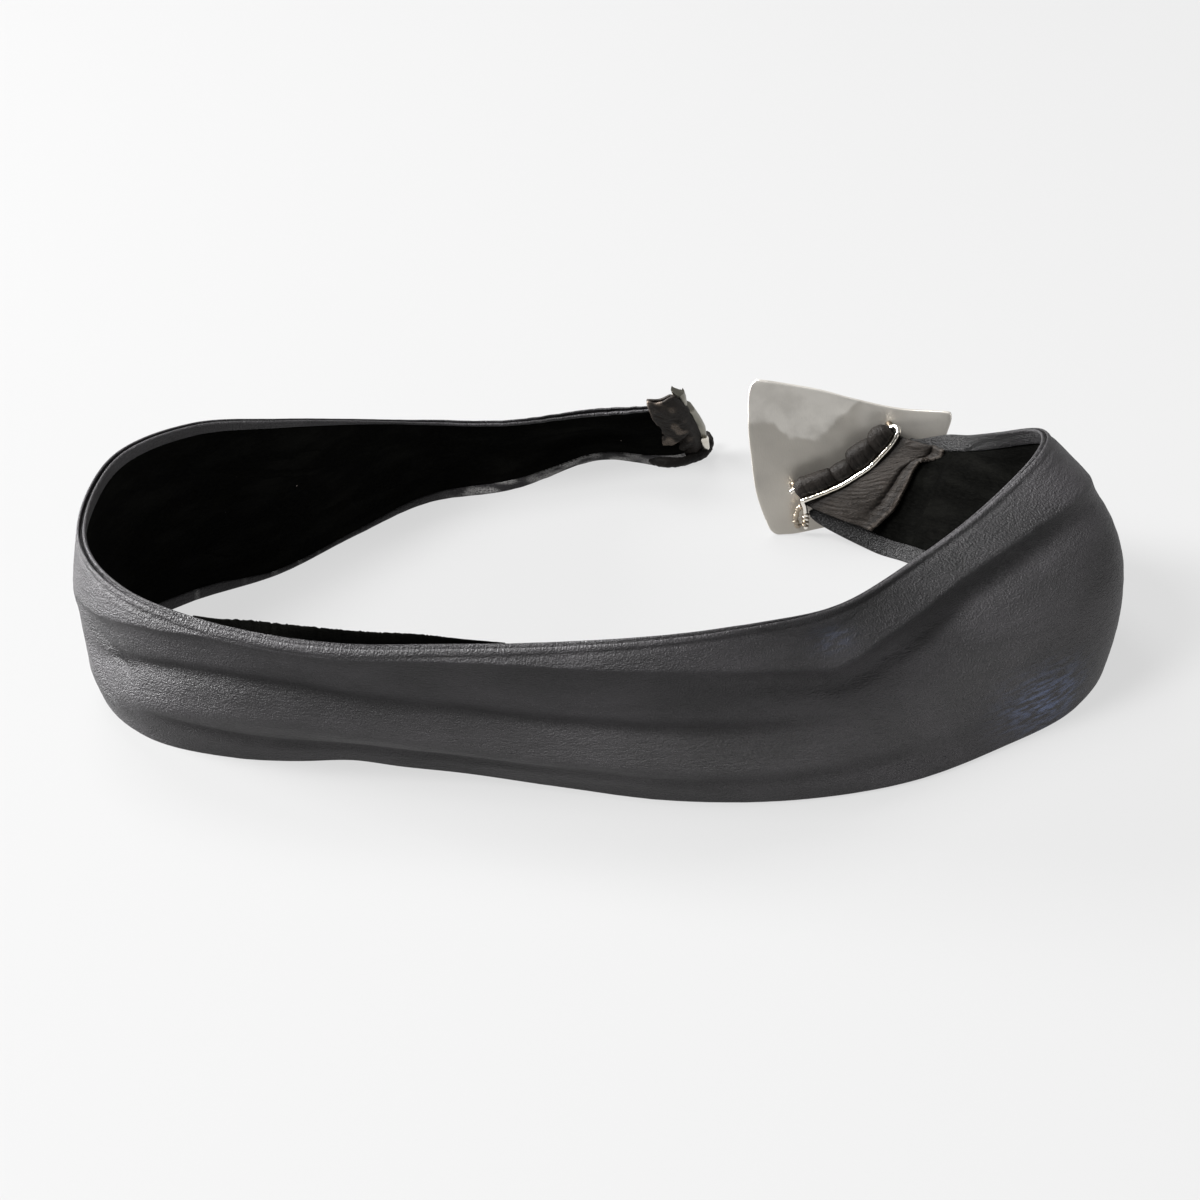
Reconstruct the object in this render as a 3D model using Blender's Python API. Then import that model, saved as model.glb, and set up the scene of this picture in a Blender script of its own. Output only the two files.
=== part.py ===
"""Wide leather waist belt with a sculptural buckle plate, standing on its edge in an open loop.

Run with: blender --background --python part.py
Metres, +Z up. The origin is on the floor under the middle of the belt's box. -Y is the belt's front.
The strap runs from the clasp end, round the back, the left turn, the front and the right turn, to the buckle.
"""
import math

import bmesh
import bpy
import numpy as np

MM = 0.001

# Driving dimensions, in millimetres -------------------------------------------------------------
LEATHER = 1.0             # thickness of the face leather and of its turned hems
LINING = 1.0              # thickness of the suede lining
CORE = 0.7                # thickness of the interlining between them
FIT = 0.3                 # gap kept between pieces that touch
HEM = 6.0                 # width of the leather turned over onto the inner side
STRAP_THICK = LEATHER + FIT + CORE + FIT + LINING
FLEX_GAP = 1.6            # clearance across each flex line of the strap
RING_STEP = 13.0          # spacing of the strap's cross sections
WIRE = 2.2                # diameter of the bail, the bars and the pins
PLATE_THICK = 1.4         # buckle plate
PLATE_BOW = 3.0           # how far the plate's sides curve towards the waist
PLATE_TILT = math.radians(6)      # the plate leans away from the loop

# The plan below is drawn around its own zero; PLAN_CENTRE is the middle of the finished box there.
PLAN_CENTRE = np.array([2.8, 38.2, 0.0])

# Strap outline: lower edge (x, y, z), upper edge (x, y, z), outward bulge of the section, all in mm.
STATIONS = [
    ((38, 161, 0), (29, 141, 36), 1),
    ((22, 160, 0), (17, 140, 34), 1),
    ((-2, 159, 0), (-4, 140, 30.5), 2),
    ((-34, 135, 0), (-36, 130, 31.5), 2),
    ((-67, 124, 0), (-68, 120, 37), 2),
    ((-94, 97.5, 0), (-92, 99, 48.5), 2),
    ((-120, 69, 0), (-115, 74, 61.5), 2),
    ((-151, 48.5, 0), (-144, 51, 71.5), 2),
    ((-172, 24, 0), (-167, 21, 74), 2),
    ((-171, -12, 0), (-172, -21, 69), 3),
    ((-152, -39, 0), (-155, -52, 66), 2),
    ((-122, -51, 0), (-122, -70, 63), 2),
    ((-87, -54, 0), (-85, -79, 61.5), 2),
    ((-50, -59, 0), (-49, -84, 64), 2),
    ((-13, -68, 0), (-15, -87, 66.5), 2),
    ((24, -76, 0), (20, -87, 69), 2),
    ((63, -76, 0), (52, -74, 66), 2),
    ((101, -67, 0), (78, -51, 59), 3),
    ((134, -47, 0), (102, -24, 58), 7),
    ((162, -23, 0), (127.5, -1, 65), 12.5),
    ((176, 10, 0), (150, 23, 74.5), 16.5),
    ((160, 39, 0), (155, 50, 70), 14.5),
    ((136, 58, 0), (143, 68, 59.5), 10),
    ((116, 76, 0), (135, 82, 50.5), 3),
    ((103, 85, 0), (128, 91, 43), 0),
]
LEFT_SWING_STATION = 7.4      # where the left arm flexes, counted along STATIONS
RIGHT_SWING_STATION = 15.4    # where the right arm flexes
CLASP_FLEX_STATION = 1.0      # end of the clasp end's turned flap
BUCKLE_FLEX_STATION = 24.0    # end of the buckle end's turned flap

# Buckle plate: outline in its own plane, right (r) and up (u) from its lower left corner, in mm.
PLATE_ORIGIN = (66.4, 99.3, 0.6)
PLATE_OUTLINE = [
    (0, 0), (12, 0.4), (26, 1.4), (40, 3.2), (52, 5.2),
    (57, 20), (62, 38), (64.5, 50),
    (45, 50.4), (26, 53.8), (8, 58.4), (-10.5, 63.5),
    (-11.5, 50), (-11.1, 38), (-8.4, 18), (-4.6, 7),
]
PLATE_CORNERS = {0: 4.0, 4: 5.0, 7: 5.0, 11: 3.0}      # corner number: radius

# Bail: a closed wire ring on the plate's inner side, at BAIL_ANGLE across the plate, in mm.
BAIL_START = (9.9, 17.6)      # lower end of its front leg in the plate's plane
BAIL_ANGLE = math.atan2(26.2, 37.0)
BAIL_LENGTH = 45.5
BAIL_SPACING = 4.0            # between the two legs' ends, across the strap
BAIL_SAG = 3.0                # how far the front leg is bent away from the back leg
BAIL_FRONT_LIFT = 8.9         # front leg's height over the plate
BAIL_BACK_LIFT = 6.1          # back leg's height, inside the leather fold


def remove_everything():
    for item in list(bpy.data.objects):
        bpy.data.objects.remove(item, do_unlink=True)


def make_material(name, colour, roughness, metallic):
    material = bpy.data.materials.new(name)
    material.use_nodes = True
    shader = material.node_tree.nodes["Principled BSDF"]
    shader.inputs["Base Color"].default_value = (*colour, 1.0)
    shader.inputs["Roughness"].default_value = roughness
    shader.inputs["Metallic"].default_value = metallic
    return material


def make_object(name, points, faces, material):
    """One closed mesh object from points in plan millimetres; its faces are turned to point out."""
    mesh = bpy.data.meshes.new(name)
    metres = (np.asarray(points, dtype=float) - PLAN_CENTRE) * MM
    mesh.from_pydata([tuple(point) for point in metres], [], faces)
    work = bmesh.new()
    work.from_mesh(mesh)
    bmesh.ops.recalc_face_normals(work, faces=work.faces)
    work.to_mesh(mesh)
    work.free()
    mesh.materials.append(material)
    mesh.shade_smooth()
    mesh.set_sharp_from_angle(angle=math.radians(35))
    item = bpy.data.objects.new(name, mesh)
    bpy.context.scene.collection.objects.link(item)
    return item


def loft(rings, closed=False, rising=None):
    """Points and faces of a solid through equal rings; a closed loft joins its last ring to its first.

    rising tells, for each side of the ring, which way its four-sided faces are cut into triangles.
    """
    count = len(rings[0])
    points = [point for ring in rings for point in ring]
    faces = []
    spans = len(rings) if closed else len(rings) - 1
    for row in range(spans):
        here = row * count
        there = ((row + 1) % len(rings)) * count
        for i in range(count):
            j = (i + 1) % count
            if rising is None:
                faces.append((here + i, here + j, there + j, there + i))
            elif rising[i]:
                faces.append((here + i, here + j, there + j))
                faces.append((here + i, there + j, there + i))
            else:
                faces.append((here + i, here + j, there + i))
                faces.append((here + j, there + j, there + i))
    if not closed:
        last = (len(rings) - 1) * count
        faces.append(tuple(reversed(range(count))))
        faces.append(tuple(range(last, last + count)))
    return points, faces


def unit(vector):
    return vector / np.linalg.norm(vector)


# Strap surface ------------------------------------------------------------------------------------

def smooth_value(values, place):
    """Catmull-Rom reading of a row of values at a fractional place along it."""
    last = len(values) - 1
    low = int(min(max(math.floor(place), 0), last - 1))
    t = place - low
    before, start, end, after = (values[min(max(low + k, 0), last)] for k in (-1, 0, 1, 2))
    if low == 0:
        before = 2 * start - end
    if low == last - 1:
        after = 2 * end - start
    slope_start = (end - before) / 2
    slope_end = (after - start) / 2
    return ((2 * t**3 - 3 * t**2 + 1) * start + (t**3 - 2 * t**2 + t) * slope_start
            + (3 * t**2 - 2 * t**3) * end + (t**3 - t**2) * slope_end)


LOWER = np.array([station[0] for station in STATIONS], dtype=float)
UPPER = np.array([station[1] for station in STATIONS], dtype=float)
BULGE = np.array([station[2] for station in STATIONS], dtype=float)


def strap_frame(place):
    """Lower edge point, direction up the section, outward normal, width and bulge at a place."""
    lower = smooth_value(LOWER, place)
    upper = smooth_value(UPPER, place)
    step = 0.02
    ahead = smooth_value(LOWER + UPPER, place + step)
    behind = smooth_value(LOWER + UPPER, place - step)
    up = unit(upper - lower)
    outward = unit(np.cross(ahead - behind, up))
    return lower, up, outward, np.linalg.norm(upper - lower), float(smooth_value(BULGE, place))


def panel_heights(width):
    """Heights of the section's bends, which every layer shares, so that their gaps stay even."""
    margin = HEM + FIT
    bends = 7
    return [margin + (width - 2 * margin) * k / (bends - 1) for k in range(bends)]


def strap_point(frame, height, depth):
    """Point of a section: height above the lower edge, depth outward from the strap's middle layer."""
    lower, up, outward, width, bulge = frame
    knots = [0.0] + panel_heights(width) + [width]
    swells = [4 * bulge * (knot / width) * (1 - knot / width) for knot in knots]
    return lower + up * height + outward * (depth + float(np.interp(height, knots, swells)))


def face_profile(width):
    """C-shaped profile of the face leather: outer side, turned edges, two inner hems and the foot."""
    half = STRAP_THICK / 2
    inside = half - LEATHER
    turn = 0.6
    bends = panel_heights(width)
    profile = [(height, half) for height in [turn] + bends + [width - turn]]
    profile += [(width, half - turn), (width, turn - half)]
    profile += [(width - turn, -half), (width - HEM, -half), (width - HEM, -inside), (width - LEATHER, -inside)]
    profile += [(height, inside) for height in [width - LEATHER] + bends[::-1] + [LEATHER]]
    profile += [(LEATHER, -inside), (HEM, -inside), (HEM, -half), (turn, -half)]
    profile += [(0.0, 0.5 - half), (0.0, half - 0.5)]
    return profile


def sheet_profile(heights, low_depth, high_depth):
    return [(height, high_depth) for height in heights] + [(height, low_depth) for height in reversed(heights)]


def lining_profile(width):
    half = STRAP_THICK / 2
    return sheet_profile(panel_heights(width), -half, -half + LINING)


def core_profile(width):
    margin = LEATHER + FIT
    return sheet_profile([margin] + panel_heights(width) + [width - margin], -CORE / 2, CORE / 2)


def section_points(frame, profile):
    """Points of a profile at a frame. The profile's lowest points stand flat on the lower edge's height."""
    floor = frame[0][2]
    points = []
    for height, depth in profile:
        point = strap_point(frame, height, depth)
        point[2] = floor if height == 0.0 else max(point[2], floor + 0.1)
        points.append(point)
    return points


def strap_length(start, end):
    places = np.linspace(start, end, 200)
    middles = np.array([smooth_value(LOWER + UPPER, place) / 2 for place in places])
    return float(np.linalg.norm(np.diff(middles, axis=0), axis=1).sum())


def place_after(place, distance):
    """The place that lies a signed distance along the strap from another place."""
    speed = strap_length(place - 0.05, place + 0.05) / 0.1
    return place + distance / speed


def build_strap_part(suffix, start, end, materials):
    """Face leather, lining and interlining of one stretch of the strap."""
    count = max(4, int(round(strap_length(start, end) / RING_STEP)) + 1)
    frames = [strap_frame(place) for place in np.linspace(start, end, count)]
    layers = (("strap_face", face_profile, "face"),
              ("suede_lining", lining_profile, "suede"),
              ("interlining", core_profile, "core"))
    for name, make_profile, finish in layers:
        profile = make_profile(frames[0][3])
        rising = [profile[(i + 1) % len(profile)][0] > profile[i][0] for i in range(len(profile))]
        rings = [section_points(frame, make_profile(frame[3])) for frame in frames]
        points, faces = loft(rings, rising=rising)
        make_object(name + "_" + suffix, points, faces, materials[finish])


def build_strap(materials):
    half_gap = FLEX_GAP / 2
    cuts = [CLASP_FLEX_STATION, LEFT_SWING_STATION, RIGHT_SWING_STATION, BUCKLE_FLEX_STATION]
    for suffix, start, end in zip(("left", "middle", "right"), cuts[:-1], cuts[1:]):
        build_strap_part(suffix, place_after(start, half_gap), place_after(end, -half_gap), materials)


# Wires and pins -----------------------------------------------------------------------------------

def tube(path, radius, sides=10, closed=False):
    """Points and faces of a round wire along a path of points."""
    path = [np.asarray(point, dtype=float) for point in path]
    count = len(path)
    rings = []
    side = None
    for i, point in enumerate(path):
        ahead = path[(i + 1) % count] if closed or i + 1 < count else point
        behind = path[i - 1] if closed or i > 0 else point
        along = unit(ahead - behind)
        if side is None:
            helper = np.array([0.0, 0.0, 1.0]) if abs(along[2]) < 0.9 else np.array([1.0, 0.0, 0.0])
            side = unit(np.cross(along, helper))
        side = unit(side - along * np.dot(side, along))
        other = np.cross(along, side)
        angles = [2 * math.pi * k / sides for k in range(sides)]
        rings.append([point + radius * (math.cos(a) * side + math.sin(a) * other) for a in angles])
    return loft(rings, closed)


# Buckle end ---------------------------------------------------------------------------------------

PLATE_RIGHT = np.array([1.0, 0.0, 0.0])
PLATE_UP = np.array([0.0, math.sin(PLATE_TILT), math.cos(PLATE_TILT)])
PLATE_INWARD = np.array([0.0, -math.cos(PLATE_TILT), math.sin(PLATE_TILT)])


def plate_point(r, u, lift):
    return np.array(PLATE_ORIGIN) + PLATE_RIGHT * r + PLATE_UP * u + PLATE_INWARD * lift


def plate_lift(r):
    """How far the plate's middle surface is bowed towards the waist at r."""
    return PLATE_BOW * ((r - 27.0) / 38.0) ** 2


def rounded_outline(corners, radii, arc_points=5):
    """Outline with a round at each corner in radii, and its other points kept as they are."""
    result = []
    count = len(corners)
    for i in range(count):
        here = np.array(corners[i], dtype=float)
        if i not in radii:
            result.append(here)
            continue
        back = unit(np.array(corners[i - 1], dtype=float) - here)
        on = unit(np.array(corners[(i + 1) % count], dtype=float) - here)
        start = here + back * radii[i]
        end = here + on * radii[i]
        for k in range(arc_points):
            t = k / (arc_points - 1)
            result.append((1 - t) ** 2 * start + 2 * t * (1 - t) * here + t**2 * end)
    return result


def build_plate(material):
    outline = rounded_outline(PLATE_OUTLINE, PLATE_CORNERS)
    centre = np.mean(outline, axis=0)
    shares = (1.0, 0.75, 0.5, 0.25)
    count = len(outline)
    points = []
    for side in (-0.5, 0.5):
        for share in shares:
            for corner in outline:
                r, u = centre + (corner - centre) * share
                points.append(plate_point(r, u, plate_lift(r) + side * PLATE_THICK))
        points.append(plate_point(*centre, plate_lift(centre[0]) + side * PLATE_THICK))
    faces = []
    per_side = count * len(shares) + 1
    for base in (0, per_side):
        for row in range(len(shares) - 1):
            for i in range(count):
                j = (i + 1) % count
                low = base + row * count
                faces.append((low + i, low + j, low + count + j, low + count + i))
        last = base + (len(shares) - 1) * count
        hub = base + per_side - 1
        faces += [(last + i, last + (i + 1) % count, hub) for i in range(count)]
    faces += [(i, (i + 1) % count, per_side + (i + 1) % count, per_side + i) for i in range(count)]
    make_object("buckle_plate", points, faces, material)


def bail_point(along, across, lift):
    """Point by distance along the bail's legs, across them (up and left) and lift over the plate."""
    cos_a = math.cos(BAIL_ANGLE)
    sin_a = math.sin(BAIL_ANGLE)
    r = BAIL_START[0] + along * cos_a - across * sin_a
    u = BAIL_START[1] + along * sin_a + across * cos_a
    return plate_point(r, u, lift)


def bail_path():
    """Closed route of the bail's wire: front leg, round end, back leg, round end."""
    path = []
    leg_points = 8
    turn_points = 5
    middle = BAIL_SPACING / 2
    mean_lift = (BAIL_FRONT_LIFT + BAIL_BACK_LIFT) / 2
    half_rise = (BAIL_FRONT_LIFT - BAIL_BACK_LIFT) / 2
    for k in range(leg_points):
        share = k / (leg_points - 1)
        path.append(bail_point(BAIL_LENGTH * share, -BAIL_SAG * math.sin(math.pi * share), BAIL_FRONT_LIFT))
    for k in range(1, turn_points):
        a = math.pi * k / turn_points
        path.append(bail_point(BAIL_LENGTH + middle * math.sin(a), middle - middle * math.cos(a),
                               mean_lift + half_rise * math.cos(a)))
    for k in range(leg_points):
        path.append(bail_point(BAIL_LENGTH * (1 - k / (leg_points - 1)), BAIL_SPACING, BAIL_BACK_LIFT))
    for k in range(1, turn_points):
        a = math.pi * k / turn_points
        path.append(bail_point(-middle * math.sin(a), middle + middle * math.cos(a),
                               mean_lift - half_rise * math.cos(a)))
    return path


def build_bail(material):
    points, faces = tube(bail_path(), WIRE / 2, closed=True)
    make_object("strap_bail", points, faces, material)


def build_post(name, along, across, material, radius=1.6, sides=12):
    """Short round post between the plate and the bail's round end."""
    foot = plate_point(0, 0, 0)
    centre = bail_point(along, across, 0.0) - foot
    r = float(np.dot(centre, PLATE_RIGHT))
    low = plate_lift(r) + PLATE_THICK / 2 + FIT
    high = BAIL_BACK_LIFT - WIRE / 2 - FIT
    points, faces = tube([bail_point(along, across, lift) for lift in (low, high)], radius, sides)
    make_object(name, points, faces, material)


CATCH_RIGHT = 9.5         # the catch staple stands upright at this distance across the plate
CATCH_LOW = 2.8
CATCH_HIGH = 13.2
CATCH_LIFT = 4.2
CATCH_RADIUS = 1.0


def build_catch(material):
    """Upright wire staple under the bail, which the clasp channel hooks over, and its collar."""
    foot = plate_lift(CATCH_RIGHT) + PLATE_THICK / 2 + FIT
    bend = 1.6
    path = [plate_point(CATCH_RIGHT, CATCH_LOW, foot), plate_point(CATCH_RIGHT, CATCH_LOW, CATCH_LIFT - bend)]
    for corner, start, turn in ((CATCH_LOW + bend, math.pi, -1), (CATCH_HIGH - bend, math.pi / 2, -1)):
        for k in range(1, 4):
            a = start + turn * k * math.pi / 6
            up = corner + bend * math.cos(a)
            path.append(plate_point(CATCH_RIGHT, up, CATCH_LIFT - bend + bend * math.sin(a)))
    path.append(plate_point(CATCH_RIGHT, CATCH_HIGH, foot))
    points, faces = tube(path, CATCH_RADIUS)
    make_object("catch_staple", points, faces, material)

    collar_wire = 0.45
    collar_radius = CATCH_RADIUS + FIT + collar_wire
    centre = plate_point(CATCH_RIGHT, (CATCH_LOW + CATCH_HIGH) / 2 + 1.0, CATCH_LIFT)
    steps = 16
    ring = [centre + collar_radius * (math.cos(2 * math.pi * k / steps) * PLATE_RIGHT
                                      + math.sin(2 * math.pi * k / steps) * PLATE_INWARD) for k in range(steps)]
    points, faces = tube(ring, collar_wire, 6, closed=True)
    make_object("catch_collar", points, faces, material)


def blend(start, end, share):
    return np.asarray(start, dtype=float) * (1 - share) + np.asarray(end, dtype=float) * share


def fold_section(outer_run, turn_centre, turn_axis, turn_normal, flap_run, thick):
    """Section of a leather end turned round a wire.

    outer_run and flap_run hold the leather's middle line as (point, normal) pairs, from the flex line to the
    wire and from the wire back to the flap's end; each normal points to the strap's inner side. turn_axis runs
    along the strap, away from the flex line.
    """
    half = thick / 2
    arc_steps = 5
    angles = [-math.pi / 2 + math.pi * k / (arc_steps - 1) for k in range(arc_steps)]
    radius = WIRE / 2 + FIT + half

    def arc(size):
        return [turn_centre + size * (math.cos(a) * turn_axis + math.sin(a) * turn_normal) for a in angles]

    outside = [point - normal * half for point, normal in outer_run] + arc(radius + half)
    outside += [point + normal * half for point, normal in flap_run]
    inside = [point + normal * half for point, normal in outer_run] + arc(radius - half)
    inside += [point - normal * half for point, normal in flap_run]
    section = outside + inside[::-1]
    for point in section:
        point[2] = max(point[2], 0.1)
    return section


GATHER_START = 2.4        # where the gathered leather starts along the bail
GATHER_SPREAD = 40.8      # how much of the bail it covers
KNEE_START = -1.0         # the same for the leather's bend in front of the plate
KNEE_SPREAD = 46.0
KNEE_ACROSS = -10.0       # the bend's place across the bail at its lower end
KNEE_SLANT = 2.0          # how much nearer to the bail its upper end is
KNEE_LIFT = 2.2           # how far the bend stands off the plate
FOLD_SECTIONS = 7         # cross sections from the fold's lower edge to its upper edge


def gather_point(v, across, lift):
    """Point on the part of the fold that lies on the plate; v runs from the lower to the upper edge."""
    return bail_point(GATHER_START + GATHER_SPREAD * v, across, lift)


def knee_point(v, lift):
    return bail_point(KNEE_START + KNEE_SPREAD * v, KNEE_ACROSS + KNEE_SLANT * v, lift)


def build_buckle_fold(materials):
    """The strap's buckle end: gathered, turned round the bail's back leg, its flap lying on the inner side."""
    lower, upper = LOWER[-1], UPPER[-1]
    outward = strap_frame(BUCKLE_FLEX_STATION)[2]
    toward = unit(np.cross(upper - lower, outward))
    across_axis = unit(bail_point(0, 1, 0) - bail_point(0, 0, 0))
    knee_normal = unit(PLATE_INWARD - outward)
    wire_gap = WIRE / 2 + FIT + LEATHER / 2
    turn_lift = BAIL_BACK_LIFT - wire_gap
    flap_lift = BAIL_FRONT_LIFT - wire_gap - FIT
    leg_rise = BAIL_FRONT_LIFT - BAIL_BACK_LIFT
    lining_lift = (LEATHER + LINING) / 2 + 1.6 * FIT
    flat_end = -BAIL_SAG - WIRE / 2 - 2 * FIT
    flat_start = 0.8
    fold_rings = []
    lining_rings = []
    for k in range(FOLD_SECTIONS):
        v = k / (FOLD_SECTIONS - 1)
        flex = blend(lower, upper, v) + toward * FLEX_GAP / 2 + outward * (STRAP_THICK - LEATHER) / 2
        knee = knee_point(v, turn_lift + KNEE_LIFT)
        under = gather_point(v, flat_end, turn_lift)
        centre = gather_point(v, BAIL_SPACING, BAIL_BACK_LIFT)
        outer_run = [(flex, -outward), (knee, knee_normal), (under, PLATE_INWARD)]

        flap_v = 0.1 + 0.85 * v      # the flap is narrower than the strap
        flap_knee = knee_point(flap_v, turn_lift + KNEE_LIFT + 2 * FIT + leg_rise)
        flap_flex = (blend(lower, upper, flap_v) + outward * (STRAP_THICK - LEATHER) / 2
                     + PLATE_INWARD * (leg_rise + KNEE_LIFT))
        flap_end = blend(flap_knee, flap_flex, 0.5 + 0.15 * v)
        flap_start, flap_under = (gather_point(v, across, flap_lift) for across in (flat_start, flat_end))
        flap_run = [(flap_start, PLATE_INWARD), (flap_under, PLATE_INWARD),
                    (flap_knee, knee_normal), (flap_end, -outward)]
        fold_rings.append(fold_section(outer_run, centre, across_axis, PLATE_INWARD, flap_run, LEATHER))

        lining_v = 0.12 + 0.76 * v   # and the lining keeps clear of the hems
        start = blend(lower, upper, lining_v) + toward * FLEX_GAP / 2 - outward * (STRAP_THICK - LINING) / 2
        middle = knee_point(lining_v, turn_lift + KNEE_LIFT + lining_lift)
        flat, end = (gather_point(lining_v, across, turn_lift + lining_lift)
                     for across in (flat_end, flat_start))
        run = [(start, -outward), (middle, knee_normal), (flat, PLATE_INWARD), (end, PLATE_INWARD)]
        lining_rings.append([point - normal * LINING / 2 for point, normal in run]
                            + [point + normal * LINING / 2 for point, normal in reversed(run)])
    points, faces = loft(fold_rings)
    make_object("buckle_end_fold", points, faces, materials["face"])
    points, faces = loft(lining_rings)
    make_object("buckle_end_lining", points, faces, materials["suede"])


# Clasp end ----------------------------------------------------------------------------------------

CLASP_LOW = np.array([37.0, 161.0, 3.5])      # ends of the strap's folded edge
CLASP_HIGH = np.array([29.0, 141.0, 36.5])
CLASP_UP = unit(CLASP_HIGH - CLASP_LOW)
CLASP_ALONG = np.array([1.0, 0.03, 0.05])
CLASP_ALONG = unit(CLASP_ALONG - np.dot(CLASP_ALONG, CLASP_UP) * CLASP_UP)
CLASP_OUT = np.cross(CLASP_UP, CLASP_ALONG)
CLASP_LENGTH = float(np.linalg.norm(CLASP_HIGH - CLASP_LOW))
BAR_ALONG = -3.0          # the bar's place before the folded edge
BAR_OUT = -0.75
CHANNEL_LOW = -1.0
CHANNEL_HIGH = 39.5
CHANNEL_WIDE = 5.0
CHANNEL_DEEP = 5.0
CHANNEL_WALL = 1.0


def clasp_point(along, up, out):
    return CLASP_LOW + CLASP_ALONG * along + CLASP_UP * up + CLASP_OUT * out


BAR_MARGIN = 3.0          # bare stretch of the bar at each end of the gathered leather
CLASP_LINING = 0.8        # the lining is pared thinner in the clasp end's fold


def bar_place(v):
    return BAR_MARGIN + (CLASP_LENGTH - 2 * BAR_MARGIN) * v


def build_clasp_fold(materials):
    """The strap's clasp end: gathered, turned round the bar, its flap lying on the inner side."""
    lower, up, outward, width, _ = strap_frame(CLASP_FLEX_STATION)
    upper = lower + up * width
    toward = -unit(np.cross(up, outward))
    outer_depth = (STRAP_THICK - LEATHER) / 2
    wire_gap = WIRE / 2 + FIT + LEATHER / 2
    near_bar = BAR_ALONG - 2.0
    flap_bar = BAR_ALONG - 2.5
    half = CLASP_LINING / 2
    fold_rings = []
    lining_rings = []
    for k in range(FOLD_SECTIONS):
        v = k / (FOLD_SECTIONS - 1)
        flex = blend(lower, upper, v) + toward * FLEX_GAP / 2 + outward * outer_depth
        near = clasp_point(near_bar, bar_place(v), BAR_OUT + wire_gap)
        centre = clasp_point(BAR_ALONG, bar_place(v), BAR_OUT)
        flap_start = clasp_point(flap_bar, bar_place(v), BAR_OUT - wire_gap)
        flap_end = blend(flap_start, flex - outward * 2 * wire_gap, 0.8)
        outer_run = [(flex, -outward), (near, -CLASP_OUT)]
        flap_run = [(flap_start, -CLASP_OUT), (flap_end, -outward)]
        fold_rings.append(fold_section(outer_run, centre, CLASP_ALONG, -CLASP_OUT, flap_run, LEATHER))

        lining_v = 0.15 + 0.7 * v
        start = blend(lower, upper, lining_v) + toward * FLEX_GAP / 2 - outward * LINING / 2
        end = clasp_point(flap_bar, bar_place(lining_v), -LINING / 2)
        lining_rings.append([start + outward * half, end + CLASP_OUT * half,
                             end - CLASP_OUT * half, start - outward * half])
    points, faces = loft(fold_rings)
    make_object("clasp_end_fold", points, faces, materials["face"])
    points, faces = loft(lining_rings)
    make_object("clasp_end_lining", points, faces, materials["suede"])


LUG_HEIGHT = 2.2
LUG_WIDTH = 1.8
CHANNEL_BACK = -1.0       # the channel's floor lies this far inside the bar's line
CHANNEL_SLANTS = (-0.4, 0.7)      # how the wall ends rise with depth, at its lower and upper end


def build_clasp(material):
    """Bar in the fold, its two lugs and the cast channel, open outward, with pointed wall ends."""
    bar = [clasp_point(BAR_ALONG, up, BAR_OUT) for up in (0.0, CLASP_LENGTH / 2, CLASP_LENGTH + 1.0)]
    points, faces = tube(bar, WIRE / 2)
    make_object("fold_bar", points, faces, material)

    inner = CHANNEL_WIDE - CHANNEL_WALL
    profile = [(0, 0), (CHANNEL_WIDE, 0),
               (CHANNEL_WIDE, CHANNEL_DEEP), (inner, CHANNEL_DEEP),
               (inner, CHANNEL_WALL), (CHANNEL_WALL, CHANNEL_WALL),
               (CHANNEL_WALL, CHANNEL_DEEP), (0, CHANNEL_DEEP)]
    rings = [[clasp_point(along, up + slant * out, out + CHANNEL_BACK) for along, out in profile]
             for up, slant in zip((CHANNEL_LOW, CHANNEL_HIGH), CHANNEL_SLANTS)]
    points, faces = loft(rings)
    make_object("clasp_channel", points, faces, material)

    lug_start = BAR_ALONG + WIRE / 2 + FIT
    half = LUG_WIDTH / 2
    for name, up in (("bar_lug_lower", -0.3), ("bar_lug_upper", CLASP_LENGTH - 1.6)):
        rings = [[clasp_point(along, up + rise, out)
                  for rise, out in ((0, -half), (LUG_HEIGHT, -half), (LUG_HEIGHT, half), (0, half))]
                 for along in (lug_start, -FIT)]
        points, faces = loft(rings)
        make_object(name, points, faces, material)


def main():
    remove_everything()
    materials = {
        "face": make_material("black_leather", (0.035, 0.033, 0.035), 0.5, 0.0),
        "suede": make_material("black_suede", (0.012, 0.012, 0.011), 0.95, 0.0),
        "core": make_material("grey_interlining", (0.25, 0.24, 0.22), 0.9, 0.0),
        "plate": make_material("satin_silver", (0.72, 0.70, 0.66), 0.3, 1.0),
        "wire": make_material("bright_silver", (0.82, 0.80, 0.76), 0.15, 1.0),
    }
    build_strap(materials)
    build_buckle_fold(materials)
    build_plate(materials["plate"])
    build_bail(materials["wire"])
    build_post("bail_post_lower", -BAIL_SPACING / 2, BAIL_SPACING / 2, materials["wire"])
    build_post("bail_post_upper", BAIL_LENGTH + BAIL_SPACING / 2, BAIL_SPACING / 2, materials["wire"])
    build_catch(materials["wire"])
    build_clasp_fold(materials)
    build_clasp(materials["wire"])


main()
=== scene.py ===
"""Looks of the wide leather waist belt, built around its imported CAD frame.

Lengths are in the plan's millimetres, and are turned into the frame's metres when a mesh is made. The strap
runs from the clasp end, round the back, the left turn, the front and the right turn, to the buckle.
"""
from math import atan2, copysign, cos, exp, pi, radians, sin

import bpy
import numpy as np
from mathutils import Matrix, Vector, noise


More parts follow.
